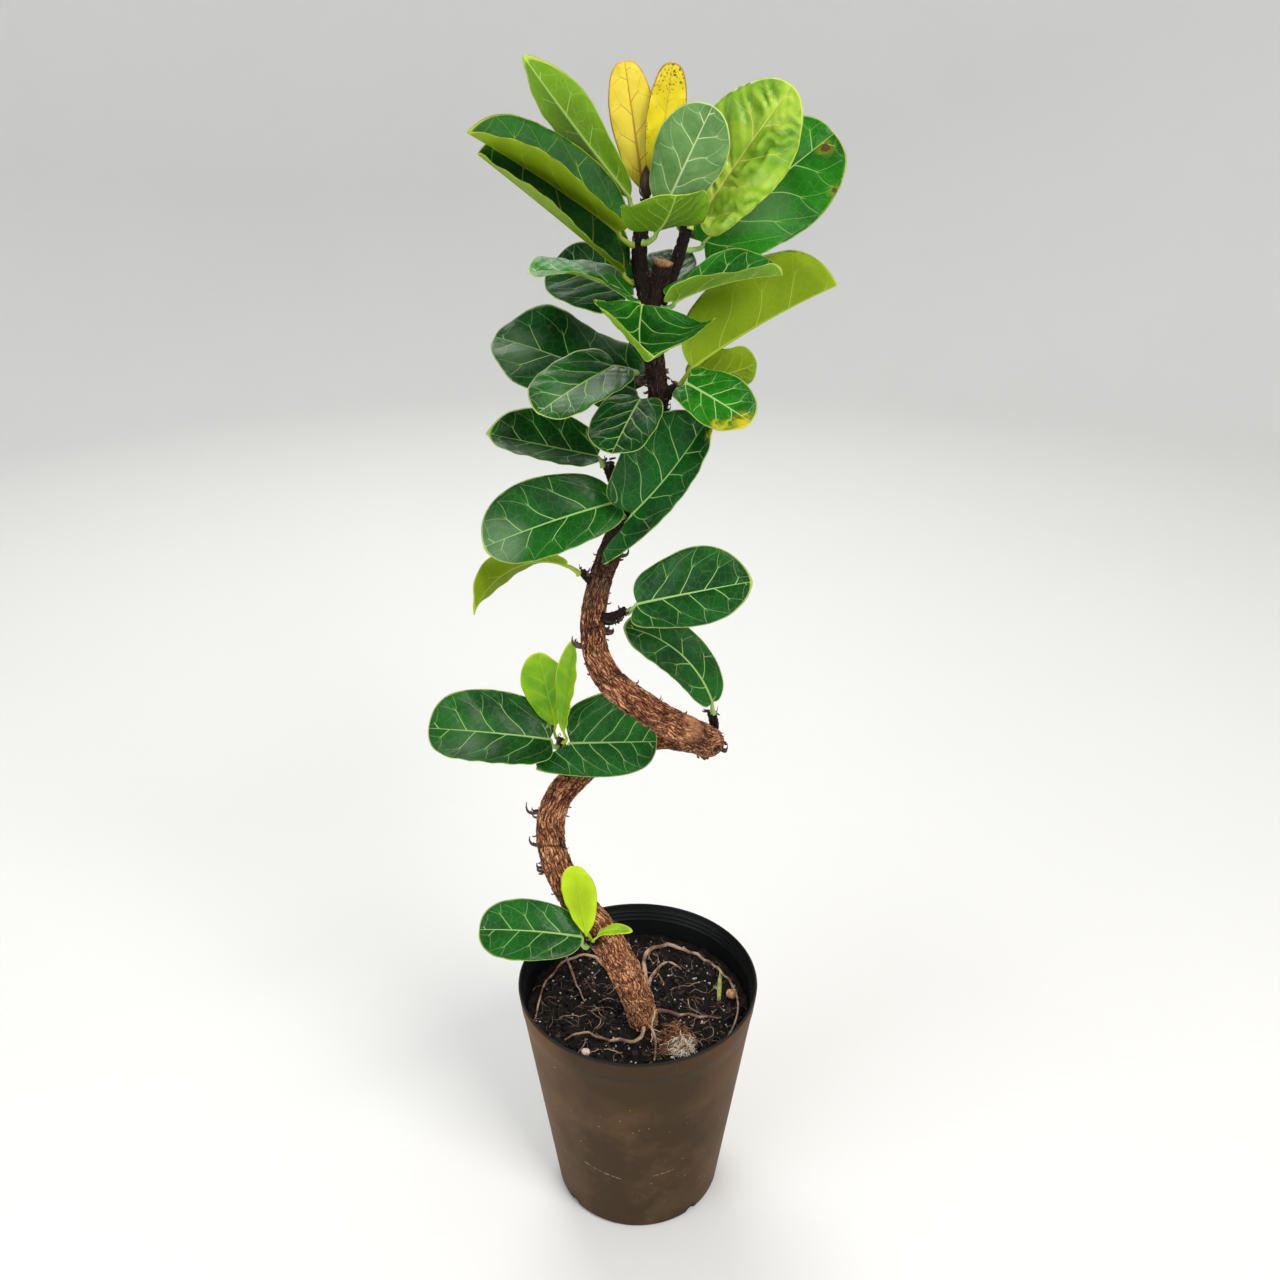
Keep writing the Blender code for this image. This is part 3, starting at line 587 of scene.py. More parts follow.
def fibre_growth():
    """Short curved threads strewn over a surface."""
    growth = Growth("threads", Density="NodeSocketFloat", Length="NodeSocketFloat",
                    Thickness="NodeSocketFloat", Seed="NodeSocketInt", Material="NodeSocketMaterial")
    bow = growth.node("GeometryNodeCurveQuadraticBezier",
                      {"Resolution": 6, "Start": (-0.5, 0.0, -0.05), "Middle": (0.1, 0.5, 0.35),
                       "End": (0.5, -0.1, 0.0)})
    ring = growth.node("GeometryNodeCurvePrimitiveCircle",
                       {"Resolution": 4, "Radius": growth.input("Thickness")})
    strand = growth.node("GeometryNodeCurveToMesh", {"Curve": bow, "Profile Curve": ring, "Fill Caps": True})
    size = growth.drawn(0.4, 1.2, growth.input("Seed")) * growth.input("Length")
    turn = growth.drawn_turn((-0.5, -0.5, 0.0), (0.6, 0.6, math.tau), 5)
    return growth.close(growth.strewn(strand, growth.joined(size, size, size), turn))


strewn = strewn_growth()
threads = fibre_growth()
chips = grain_paint("bark_chips", PEAT, CHIP_BROWN, 300)
perlite = grain_paint("perlite", (0.30, 0.28, 0.24), PERLITE_WHITE, 260, 0.95)
fibre = grain_paint("fibre", CHIP_BROWN, FIBRE_TAN, 140)
red_fibre = grain_paint("red_fibre", (0.060, 0.024, 0.012), (0.360, 0.150, 0.065), 160)
pale_fibre = grain_paint("pale_fibre", (0.460, 0.350, 0.240), (0.840, 0.780, 0.660), 160)
whole_top = soil_top(88)
brown_top = soil_top(TUFT_BROWN_REACH, TUFT_BROWN_PLACE)
pale_top = soil_top(TUFT_PALE_REACH, TUFT_PALE_PLACE)
# Grains to a square metre, smallest and largest size, flatness and seed
GRAINS = (
    ("soil_crumbs", peat, 30000.0, 0.5, 2.6, 0.75, 11),
    ("soil_bark_chips", chips, 6500.0, 0.9, 3.0, 0.45, 12),
    ("soil_perlite", perlite, 9000.0, 0.25, 1.15, 0.8, 13),
)
for label, paint, density, smallest, largest, flatness, seed in GRAINS:
    grains = grown(strewn, whole_top.copy(), Density=density, Smallest=smallest * MM, Largest=largest * MM,
                   Flatness=flatness, Seed=seed, Material=paint)
    show(label, grains, None, paint)
# Threads to a square metre, length, thickness as a share of it, and seed
THREADS = (
    ("soil_fibres", whole_top, fibre, 9000.0, 12, 0.020, 14),
    ("tuft_brown_fibres", brown_top, red_fibre, 260000.0, 13, 0.020, 15),
    ("tuft_pale_fibres", pale_top, pale_fibre, 360000.0, 14, 0.019, 16),
)
for label, ground, paint, density, length, thickness, seed in THREADS:
    strands = grown(threads, ground.copy(), Density=density, Length=length * MM, Thickness=thickness,
                    Seed=seed, Material=paint)
    show(label, strands, None, paint)

# Trunk
# A woody stem that was trained round a pole while it was soft, so that it climbs in an open spiral.
# Its bark is fibrous, red-brown with tan streaks and dark cracks, and nearly black on the young wood.
BARK_CREVICE = (0.016, 0.005, 0.003)
BARK_BROWN = (0.140, 0.044, 0.017)
BARK_RED = (0.360, 0.122, 0.046)
BARK_TAN = (0.720, 0.370, 0.180)
WOOD_DARK = (0.010, 0.005, 0.004)
WOOD_CUT = (0.500, 0.210, 0.075)
YOUNG_WOOD_HEIGHT = 545
GRAIN_RADIUS = 10
SCRAPE_PLACE = (36, -34, 478)
CUT_PLACE = (17.2, 0, 800.5)
FLAKE_SCALE = 560
FLAKE_STRETCH = 0.20
FLAKE_SWAY = 5
STRAND_STRETCH = 0.12
SCAR_STEP = 41
SHOOT_SCAR_STEP = 7
# Place and thickness of the stem at each station
TRUNK_STATIONS = (
    (8, -10, 118, 24), (6, -16, 155, 24), (4, -22, 190, 25), (-7, -33, 241, 26),
    (-30, -33, 291, 25.5), (-55, -19, 322, 24), (-69, 0, 358, 22.5), (-64, 18, 380, 22),
    (-50, 34, 391, 22), (-34, 44, 401, 22), (-12, 50, 411, 22), (14, 50, 420, 22), (40, 34, 427, 22.5),
    (54, 8, 439, 23), (49, -14, 455, 23), (31, -33, 475, 22.5), (3, -41, 498, 21.5),
    (-22, -29, 516, 20.5), (-32, -7, 535, 18.5), (-29, 11, 565, 17.5), (-19, 20, 593, 17),
    (-9, 24, 615, 16), (0, 22, 649, 14.5), (9, 12, 685, 14), (14, 6, 708, 14),
    (12, 2, 730, 13.5), (10, 0, 757, 13), (13, 0, 782, 12), (17, 0, 800, 12.5),
)
SHOOTS = {
    "crown_left": ((10, 0, 757, 11), (6, 1, 776, 11), (2, 1, 795, 10.5), (2, 2, 815, 9.5),
                   (5, 2, 829, 8), (6, 2, 837, 8)),
    "crown_right": ((12, 0, 768, 10), (19, 5, 782, 9), (26, 11, 799, 8.5), (32, 16, 818, 7.5)),
    "low": ((-29, -36, 290, 9), (-34, -47, 292, 7), (-37, -56, 297, 6)),
    "middle_left": ((-53, 29, 389, 10), (-58, 26, 410, 8), (-60, 20, 434, 7)),
    "middle_right": ((55, 4, 440, 9), (58, 4, 455, 7.5), (56, 4, 467, 7)),
    "upper_right": ((-28, 0, 547, 8), (-16, -7, 553, 7), (-9, -11, 559, 6.5)),
    "upper_left": ((-29, 12, 567, 8), (-36, 10, 575, 6.5), (-40, 9, 581, 6)),
    "fork": ((-10, 23, 612, 11), (-8, 12, 620, 8), (-7, 4, 624, 7)),
    "fork_left": ((-8, 24, 618, 11), (-14, 24, 636, 9), (-21, 21, 658, 8)),
    "knot": ((14, 6, 704, 11), (21, 2, 714, 8), (27, 0, 718, 7)),
}


def stem_curve(stations):
    """A curve through stations of x, y, z and thickness, with its radius in metres."""
    curve = bpy.data.curves.new("stem", "CURVE")
    curve.dimensions = "3D"
    curve.resolution_u = 24
    spline = curve.splines.new("BEZIER")
    spline.bezier_points.add(len(stations) - 1)
    for knot, (x, y, z, thickness) in zip(spline.bezier_points, stations):
        knot.co = metres((x, y, z))
        knot.handle_left_type = "AUTO"
        knot.handle_right_type = "AUTO"
        knot.radius = thickness / 2 * MM
    return curve


def bark_flakes(tree, fibre):
    """Long flakes of bark: their depth, the cracks between them and a tone for each."""
    sway = tree.scaled(tree.vector("SUBTRACT", tree.mottle_colour(fibre, 190), HALVES), FLAKE_SWAY * MM)
    along = tree.vector("MULTIPLY", tree.vector("ADD", fibre, sway), (1.0, 1.0, FLAKE_STRETCH))
    edge = tree.cells(along, FLAKE_SCALE, "DISTANCE_TO_EDGE")
    cell_tone = tree.parts(tree.cells(along, FLAKE_SCALE, output="Color"))[0]
    return tree.ease(edge, 0.0, 0.30), tree.ease(edge, 0.10, 0.015), cell_tone


def scar_distance(tree, fibre, run, step):
    """Distance from the nearest ring scar, as a share of the step between two."""
    rings = run / step + tree.mottle(fibre, 35, 1.0) * 0.35
    return abs(tree.math("FRACT", rings) - 0.5)


def stem_growth():
    """A stem swept along its curve, with the fibres, cracks and ring scars of its bark in relief."""
    growth = Growth("stem", Ring_step="NodeSocketFloat", Sides="NodeSocketInt", Relief="NodeSocketFloat",
                    Scar_step="NodeSocketFloat", Young="NodeSocketFloat", Material="NodeSocketMaterial")
    path = growth.node("GeometryNodeResampleCurve", {"Curve": growth.input("Geometry"),
                                                     "Length": growth.input("Ring_step")}, mode="LENGTH")
    path = growth.keep(path, "run", growth.node("GeometryNodeSplineParameter", output="Length"))
    ring = growth.node("GeometryNodeCurvePrimitiveCircle",
                       {"Resolution": growth.input("Sides"), "Radius": 1.0})
    ring = growth.keep(ring, "share", growth.node("GeometryNodeSplineParameter", output="Factor"))
    width = growth.node("GeometryNodeInputRadius")
    stem = growth.node("GeometryNodeCurveToMesh", {"Curve": path, "Profile Curve": ring, "Scale": width,
                                                   "Fill Caps": True})
    run = growth.kept("run")
    angle = growth.kept("share") * math.tau
    flow = growth.mottle(growth.joined(0.0, 0.0, run), 30, 1.0) * 1.6
    fibre = growth.joined(growth.math("COSINE", angle + flow) * (GRAIN_RADIUS * MM),
                          growth.math("SINE", angle + flow) * (GRAIN_RADIUS * MM), run)
    stem = growth.keep(stem, "fibre", fibre, "FLOAT_VECTOR")
    flakes, cracks, cell_tone = bark_flakes(growth, fibre)
    coarse = growth.mottle(fibre, 90, 2.0)
    groove = growth.ease(scar_distance(growth, fibre, run, growth.input("Scar_step")), 0.035, 0.0)
    stem = growth.keep(stem, "young", growth.input("Young"))
    depth = flakes * 0.35 + cell_tone * 0.55 + coarse * 1.5 - cracks * 0.3 - groove * 0.6 - 1.2
    push = growth.scaled(growth.node("GeometryNodeInputNormal"), depth * growth.input("Relief"))
    stem = growth.node("GeometryNodeSetPosition", {"Geometry": stem, "Offset": push})
    stem = growth.node("GeometryNodeSetShadeSmooth", {0: stem})
    return growth.close(stem)


def bark_paint():
    tree = Paint("bark")
    point = tree.object_point()
    x, y, z = tree.parts(point)
    fibre = tree.attribute("fibre")
    fine = tree.vector("MULTIPLY", fibre, (1.0, 1.0, STRAND_STRETCH))
    flakes, cracks, cell_tone = bark_flakes(tree, fibre)
    strands = tree.mottle(fine, 1300, 4.0, 0.7)
    patches = tree.mottle(fibre, 55, 4.0)
    tone = (strands - 0.5) * 3.0 + (cell_tone - 0.5) * 0.50 + (patches - 0.5) * 1.1 + flakes * 0.20 + 0.40
    tone = tone + tree.ease(z, 360 * MM, 200 * MM) * 0.14
    colour = tree.ramp(tone, (0.05, BARK_CREVICE), (0.32, BARK_BROWN), (0.58, BARK_RED), (0.90, BARK_TAN))
    colour = tree.blend(cracks * 0.70, colour, BARK_CREVICE)
    scars = tree.ease(scar_distance(tree, fibre, tree.parts(fibre)[2], SCAR_STEP * MM), 0.022, 0.006)
    colour = tree.blend(scars * 0.6, colour, BARK_CREVICE)
    scrape = tree.ease(tree.stain_distance(point, SCRAPE_PLACE) + patches * 16, 22, 14)
    colour = tree.blend(scrape * 0.7, colour, tree.blend(strands, BARK_RED, BARK_TAN))
    young = tree.ease(z + patches * 0.06, (YOUNG_WOOD_HEIGHT + 10) * MM, (YOUNG_WOOD_HEIGHT + 85) * MM)
    dark = tree.blend(tree.ease(strands, 0.5, 0.75), WOOD_DARK, (0.055, 0.026, 0.015))
    colour = tree.blend(young * 0.93, colour, dark)
    side = tree.attribute("young", "Fac")
    colour = tree.blend(side * 0.95, colour, dark)
    end = tree.stain_distance(point, CUT_PLACE)
    cut = tree.ease(end, 7.5, 6.0) * tree.ease(z, 796 * MM, 798 * MM)
    colour = tree.blend(cut, colour, tree.blend(strands, WOOD_CUT, (0.75, 0.42, 0.20)))
    relief = flakes + strands * 0.7 - scars * 0.5
    return tree.finish(colour, 0.75 + strands * 0.2, relief, 1.0, 1.3, shine=0.25)


def joined_mesh(meshes):
    """One mesh of several, with their attributes."""
    work = bmesh.new()
    for mesh in meshes:
        work.from_mesh(mesh)
    return settled("joined", work)


stem = stem_growth()
bark = bark_paint()
stems = [grown(stem, stem_curve(TRUNK_STATIONS), Ring_step=1.2 * MM, Sides=84, Relief=1.1 * MM,
               Scar_step=SCAR_STEP * MM, Young=0.0, Material=bark)]
for stations in SHOOTS.values():
    stems.append(grown(stem, stem_curve(stations), Ring_step=0.9 * MM, Sides=36, Relief=1.0 * MM,
                       Scar_step=SHOOT_SCAR_STEP * MM, Young=1.0, Material=bark))
show("trunk_bark", joined_mesh(stems), "trunk", bark)

# Dried scales
# The sheaths of old buds stay on the bark as thin black curls beside each old leaf scar. They are
# rooted in the bark and stand off it.
SMALL_SCALES = 260
SCALES_PER_STATION = 6
SCALE_SEED = 5
SCALE_STEPS = 6
SCALE_ROOT = 1.5
SCALE_SIDES = 5
SCALE_FLATNESS = 0.4
TUFT_OF_SCALES = 4
BARK_REACH = 9
SCALE_BLACK = (0.012, 0.008, 0.006)
# Height, bearing and length of the scales beside each old leaf scar
STIPULES = (
    (352, 175, 9), (372, 190, 13), (336, 185, 7), (310, 200, 8), (405, -80, 8), (418, -70, 9),
    (432, -60, 8), (442, -40, 8), (452, -60, 7), (530, 160, 11), (545, 0, 8), (538, 5, 7),
    (588, 20, 8), (601, 15, 9), (643, -20, 9), (640, 200, 8), (722, 175, 10), (738, -75, 7),
    (716, 20, 9), (745, 165, 8),
)


def tube(path, widths, sides, flat=1.0):
    """Points and faces of a closed tube along a path, with a width at each point, in millimetres."""
    path = [Vector(point) for point in path]
    points = []
    faces = []
    side = Vector((0.31, 0.17, 0.93))
    for index, (place, width) in enumerate(zip(path, widths)):
        ahead = path[min(index + 1, len(path) - 1)] - path[max(index - 1, 0)]
        across = ahead.cross(side).normalized()
        side = across.cross(ahead).normalized()
        for step in range(sides):
            angle = math.tau * step / sides
            points.append(place + (across * math.cos(angle) * flat - side * math.sin(angle)) * width / 2)
    last = (len(path) - 1) * sides
    for start in range(0, last, sides):
        for step in range(sides):
            after = (step + 1) % sides
            faces.append((start + step, start + after, start + sides + after, start + sides + step))
    faces.append(tuple(range(sides - 1, -1, -1)))
    faces.append(tuple(range(last, last + sides)))
    return points, faces


def tubes_mesh(tubes):
    """One mesh of many tubes."""
    points = []
    faces = []
    for tube_points, tube_faces in tubes:
        base = len(points)
        points += [metres(point) for point in tube_points]
        faces += [tuple(base + index for index in face) for face in tube_faces]
    mesh = bpy.data.meshes.new("tubes")
    mesh.from_pydata(points, [], faces)
    faced_out(mesh)
    mesh.shade_smooth()
    return mesh


def stem_centre(height):
    """Centre of the trunk at a height, on straight runs between its stations."""
    for (x0, y0, z0, _), (x1, y1, z1, _) in zip(TRUNK_STATIONS, TRUNK_STATIONS[1:]):
        if z0 <= height <= z1:
            share = (height - z0) / (z1 - z0)
            return Vector((x0 + (x1 - x0) * share, y0 + (y1 - y0) * share, height))
    raise ValueError("no station of the trunk is at this height")


def scale_curl(foot, outward, length, width, curl):
    """A tapering dried scale that leaves the bark and curls over."""
    rise = Vector((0, 0, 1))
    shares = [step / SCALE_STEPS for step in range(SCALE_STEPS + 1)]
    path = [foot - outward * SCALE_ROOT]
    for share in shares[1:]:
        path.append(foot + (outward * math.sin(share * 1.9) * 0.75
                            + rise * (curl * share * share - 0.15 * math.sin(share * 3))) * length)
    return tube(path, [width * (1 - 0.85 * share ** 1.4) for share in shares], SCALE_SIDES, SCALE_FLATNESS)


def node_tree(node):
    """A search tree of a solid's faces, in millimetres."""
    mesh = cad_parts[node].data
    return BVHTree.FromPolygons([vert.co / MM for vert in mesh.vertices],
                                [tuple(face.vertices) for face in mesh.polygons])


def heading(bearing, rise=0.0):
    return Vector((math.cos(bearing), math.sin(bearing), rise))


def dried_scales():
    """Tufts beside the old leaf scars, a fringe round each shoot, and small ones all over the bark."""
    curls = []
    draw = random.Random(SCALE_SEED)
    for height, bearing, length in STIPULES:
        outward = heading(math.radians(bearing))
        near = trunk_tree.find_nearest(stem_centre(height) + outward * BARK_REACH)[0]
        for extra in range(TUFT_OF_SCALES):
            shift = Vector([draw.uniform(-3, 3) for _ in range(3)]) * (extra > 0)
            curls.append(scale_curl(near + shift, outward, length * (1 - 0.22 * extra), 3.6 - 0.5 * extra,
                                    draw.uniform(0.2, 0.9)))
    for stations in SHOOTS.values():
        for x, y, z, thickness in stations[1:]:
            for _ in range(SCALES_PER_STATION):
                outward = heading(draw.uniform(0, math.tau), draw.uniform(-0.2, 0.5))
                foot = Vector((x, y, z + draw.uniform(-5, 3))) + outward * thickness * 0.4
                curls.append(scale_curl(foot, outward, draw.uniform(2, 6), draw.uniform(1.4, 2.6),
                                        draw.uniform(-0.2, 0.9)))
    for _ in range(SMALL_SCALES):
        height = draw.uniform(240, 755)
        outward = heading(draw.uniform(0, math.tau), draw.uniform(-0.3, 0.3))
        near = trunk_tree.find_nearest(stem_centre(height) + outward * BARK_REACH)[0]
        curls.append(scale_curl(near, outward, draw.uniform(1.5, 5.0), draw.uniform(1.0, 2.2),
                                draw.uniform(-0.4, 0.8)))
    return tubes_mesh(curls)


trunk_tree = node_tree("trunk")
dry_scale = grain_paint("dry_scale", SCALE_BLACK, (0.075, 0.035, 0.020), 300, 0.6)
show("dried_scales", dried_scales(), None, dry_scale)

# Roots
# Thick surface roots run from the stem over the soil and along the wall of the pot, and thin ones
# wander between them. Their skin is a dull pink-brown that dries to tan.
ROOT_TAPER = 0.35
ROOT_SPACING = 4
CORNER_PASSES = 8
ROOT_COLLAR = 5
ROOT_COLLAR_POINTS = 8
ROOT_LIFT = 0.9
FINE_ROOTS = 34
FINE_ROOT_SIDES = 5
FINE_ROOT_STEP = 3
FINE_ROOT_LIMIT = 84
ROOT_SEED = 8
ROOT_BROWN = (0.110, 0.050, 0.030)
ROOT_TAN = (0.460, 0.310, 0.215)
# Points in plan of each root, and its thickness where it starts
ROOTS = (
    (((4, -22), (-12, 14), (-38, 62), (-64, 60), (-82, 24), (-86, -17)), 4.0),
    (((-64, 60), (-55, 28), (-45, 3)), 3.0),
    (((4, -22), (8, 18), (15, 44), (24, 54), (32, 55), (38, 42)), 4.4),
    (((8, 18), (4, 60), (16, 78), (34, 72), (50, 65), (66, 51), (80, 29), (86, 4), (84, -16),
      (74, -40)), 4.2),
    (((4, -22), (22, -12), (43, -16), (70, -17)), 4.0),
    (((4, -22), (6, -46), (-15, -48), (-34, -40), (-48, -31), (-60, -42)), 4.0),
    (((4, -22), (16, -44), (13, -66)), 3.2),
)


def spaced(points, spacing):
    """Points at even steps along straight runs between the given plan points, corners rounded off."""
    path = [Vector(points[0])]
    for before, after in zip(points, points[1:]):
        run = Vector(after) - Vector(before)
        count = max(1, round(run.length / spacing))
        path += [Vector(before) + run * (step + 1) / count for step in range(count)]
    for _ in range(CORNER_PASSES):
        inner = [(a + b * 2 + c) / 4 for a, b, c in zip(path, path[1:], path[2:])]
        path = [path[0], *inner, path[-1]]
    return path


def root_tube(points, thickness, from_trunk, draw):
    """A root laid on the soil, with the bends and swellings of a grown one."""
    path = spaced(points, ROOT_SPACING)
    places = []
    widths = []
    for index, place in enumerate(path):
        share = index / (len(path) - 1)
        size = thickness * (1 - (1 - ROOT_TAPER) * share)
        z = soil_level(place.x, place.y) + size / 2 + ROOT_LIFT
        if from_trunk:
            z += ROOT_COLLAR * max(0.0, 1 - share * len(path) / ROOT_COLLAR_POINTS)
        places.append(Vector((place.x, place.y, z + draw.uniform(-0.3, 0.3))))
        widths.append(size * draw.uniform(0.85, 1.12))
    return tube(places, widths, 10)


def fine_root(draw):
    """A thin root that wanders a short way over the soil."""
    course = draw.uniform(0, math.tau)
    reach = draw.uniform(20, 78)
    place = heading(draw.uniform(0, math.tau)).xy * reach
    places = []
    for _ in range(draw.randint(6, 16)):
        places.append(Vector((place.x, place.y, soil_level(place.x, place.y) + draw.uniform(0.3, 1.6))))
        course += draw.uniform(-0.6, 0.6)
        place = place + heading(course).xy * FINE_ROOT_STEP
        if place.length > FINE_ROOT_LIMIT:
            break
    size = draw.uniform(0.6, 1.3)
    widths = [size * (1 - 0.6 * index / len(places)) for index in range(len(places))]
    return tube(places, widths, FINE_ROOT_SIDES)


def root_mesh():
    """The thick roots, and the thin ones that have at least four points of path."""
    draw = random.Random(ROOT_SEED)
    tubes = [root_tube(points, size, points[0] == TRUNK_FOOT, draw) for points, size in ROOTS]
    thin = [fine_root(draw) for _ in range(FINE_ROOTS)]
    tubes += [root for root in thin if len(root[0]) > 3 * FINE_ROOT_SIDES]
    return tubes_mesh(tubes)


def root_paint():
    tree = Paint("root_skin")
    point = tree.object_point()
    patches = tree.mottle(point, 90, 4)
    rings = tree.mottle(point, 700, 3)
    colour = tree.blend(tree.ease(patches * 0.7 + rings * 0.3, 0.38, 0.62), ROOT_BROWN, ROOT_TAN)
    return tree.finish(colour, 0.8, rings, 0.5, 0.4)


show("surface_roots", root_mesh(), None, root_paint())

# Pebble, fallen leaf and root ends
# One pale stone lies by the wall of the pot on its flat side. A tan lump of bark and a fallen sliver of
# leaf lie near the right wall, and a white root runs down the stem's foot and out over the soil.
LUMP_PLACE = (80, 11)
LUMP_HALF = (4.6, 5.0, 3.6)
SLIVER_PATH = ((69, 3, 187), (69.5, 8, 194), (69.8, 13, 201), (70.5, 17, 208))
SLIVER_WIDTHS = (0.7, 0.8, 0.7, 0.15)
SLIVER_FLAT = 6
WHITE_ROOT = ((14, -29.5, 206), (13, -33, 199), (10, -35.5, 192), (12.5, -40, 189.5), (11, -48, 189))
LITTER_SEED = 21
STONE_FILL = 0.97
STONE_UNDERSIDE = -0.92


def stone_mesh(low, high):
    """A rounded lump that fills a box, with a flat underside."""
    centre = (Vector(low) + Vector(high)) / 2
    half = (Vector(high) - Vector(low)) / 2
    work = bmesh.new()
    bmesh.ops.create_icosphere(work, subdivisions=5, radius=1.0)
    for vert in work.verts:
        lumps = 1 + 0.09 * noise.noise(vert.co * 1.6) + 0.03 * noise.noise(vert.co * 5)
        x, y, z = vert.co * lumps
        vert.co = centre + half * Vector((x * STONE_FILL, y * STONE_FILL, max(z, STONE_UNDERSIDE)))
    mesh = settled("stone", work)
    mesh.shade_smooth()
    return mesh


def sliver_mesh():
    """A flat tube that narrows to a point at its upper end."""
    path = spaced(SLIVER_PATH, 3)
    marks = np.linspace(0, 1, len(SLIVER_WIDTHS))
    widths = np.interp(np.linspace(0, 1, len(path)), marks, SLIVER_WIDTHS)
    return tubes_mesh([tube(path, widths, 10, SLIVER_FLAT)])


def white_root():
    """The white root: a wavering thread with two side hairs."""
    draw = random.Random(LITTER_SEED)
    path = [place + Vector((draw.uniform(-0.5, 0.5), draw.uniform(-0.3, 0.3), 0))
            for place in spaced(WHITE_ROOT, 2)]
    widths = [1.3 - 0.6 * index / len(path) for index in range(len(path))]
    hairs = []
    for start in (len(path) // 2, len(path) * 3 // 4):
        hair = [path[start] + Vector((1.6, -0.9, 0.1)) * step for step in range(6)]
        hairs.append(tube(hair, [0.6 - 0.08 * step for step in range(6)], 5))
    return tubes_mesh([tube(path, widths, 8), *hairs])


show("pale_pebble", stone_mesh(*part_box("pebble")), "pebble",
     grain_paint("pale_stone", (0.50, 0.36, 0.28), (0.80, 0.68, 0.58), 350, 0.7))
lump_centre = Vector((*LUMP_PLACE, soil_level(*LUMP_PLACE) + LUMP_HALF[2] * 0.6))
lump_half = Vector(LUMP_HALF)
show("bark_lump", stone_mesh((lump_centre - lump_half) * MM, (lump_centre + lump_half) * MM), None,
     grain_paint("bark_lump", (0.250, 0.110, 0.040), (0.620, 0.370, 0.180), 260))
show("leaf_sliver", sliver_mesh(), None,
     grain_paint("leaf_sliver", (0.220, 0.250, 0.050), (0.420, 0.440, 0.120), 220, 0.6))
show("white_root", white_root(), None, pale_fibre)

# Terminal bud
# The leading shoot ends in one dark papery sheath, ribbed along its length, that wraps the next leaf.
# It grows on the tip of the left shoot, between the two youngest leaves.
BUD_FOOT = (6, 2, 837.4)
BUD_LENGTH = 20
BUD_WIDTH = 8
BUD_RIBS = 7
BUD_RIB_DEPTH = 0.09
BUD_RINGS = 22
BUD_SIDES = 28
BUD_TIP = 0.12


def bud_mesh():
    """A pointed sheath of rings, with ribs that wind a little as they rise."""
    work = bmesh.new()
    rings = []
    for ring in range(BUD_RINGS + 1):
        share = ring / BUD_RINGS
        width = BUD_TIP
        if ring < BUD_RINGS:
            width = BUD_WIDTH / 2 * math.sin(math.pi * (0.12 + 0.88 * share)) ** 0.8
        if share < 0.06:
            width *= 0.75
        lean = math.sin(share * 2.2) * 0.5
        row = []
        for step in range(BUD_SIDES):
            angle = math.tau * step / BUD_SIDES
            rib = 1 + BUD_RIB_DEPTH * math.sin(BUD_RIBS * angle + share * 4) * math.sin(math.pi * share)
            place = Vector(BUD_FOOT) + heading(angle) * width * rib + Vector((-lean, 0, BUD_LENGTH * share))
            row.append(work.verts.new(place * MM))
        rings.append(row)
    for below, above in zip(rings, rings[1:]):
        for step in range(BUD_SIDES):
            after = (step + 1) % BUD_SIDES
            work.faces.new((below[step], below[after], above[after], above[step]))
    work.faces.new(tuple(reversed(rings[0])))
    work.faces.new(tuple(rings[-1]))
    mesh = settled("bud_sheath", work)
    mesh.shade_smooth()
    return mesh


show("bud_sheath", bud_mesh(), "terminal_bud",
     grain_paint("bud_sheath", (0.012, 0.006, 0.004), (0.060, 0.024, 0.012), 260, 0.5))

# Leaves
# Thick leathery fiddle-shaped blades, dark and glossy above and paler beneath, quilted between pale
# veins, each on its own stalk. The young ones are thin and lime or yellow; the stalks grow from the bark.
BLADE_THICKNESS = 0.7
STALK_THICKNESS = 3.4
STALK_RUN = 0.16
STALK_SWELL = (1.5, 1.1, 0.9, 0.85, 0.45)
STALK_STEPS = 6
STALK_SIDES = 12
RIB_STEPS = 140
BLADE_ROWS = 66
BLADE_HALF_COLUMNS = 22
ROWS_CROWDED = 0.55
COLUMNS_CROWDED = 0.8
STALK_MARGIN = 30
EDGE_EASE = 0.82
RIB_EASE = 1.35
SPREAD_EASE = 1.15
WAIST_DEPTH = 0.06
WAIST_ROW = 0.36
WAIST_REACH = 0.13
LOBE_SKEW = 3
QUILT = {"dark": 0.75, "deep": 0.7, "green": 0.7, "bright": 0.9, "lime": 0.15, "olive": 0.7,
         "pale": 0.7, "puckered": 2.0, "yellow": 0.2, "yellow_speckled": 0.2}
PUCKER = {"puckered": 2.2, "pale": 0.15, "bright": 0.12}
VEIN_PAIRS = 4.4
VEIN_LEAN = 0.70
VEIN_CURL = 0.6
OTHER_SIDE = 0.35
FORK_START = 0.52

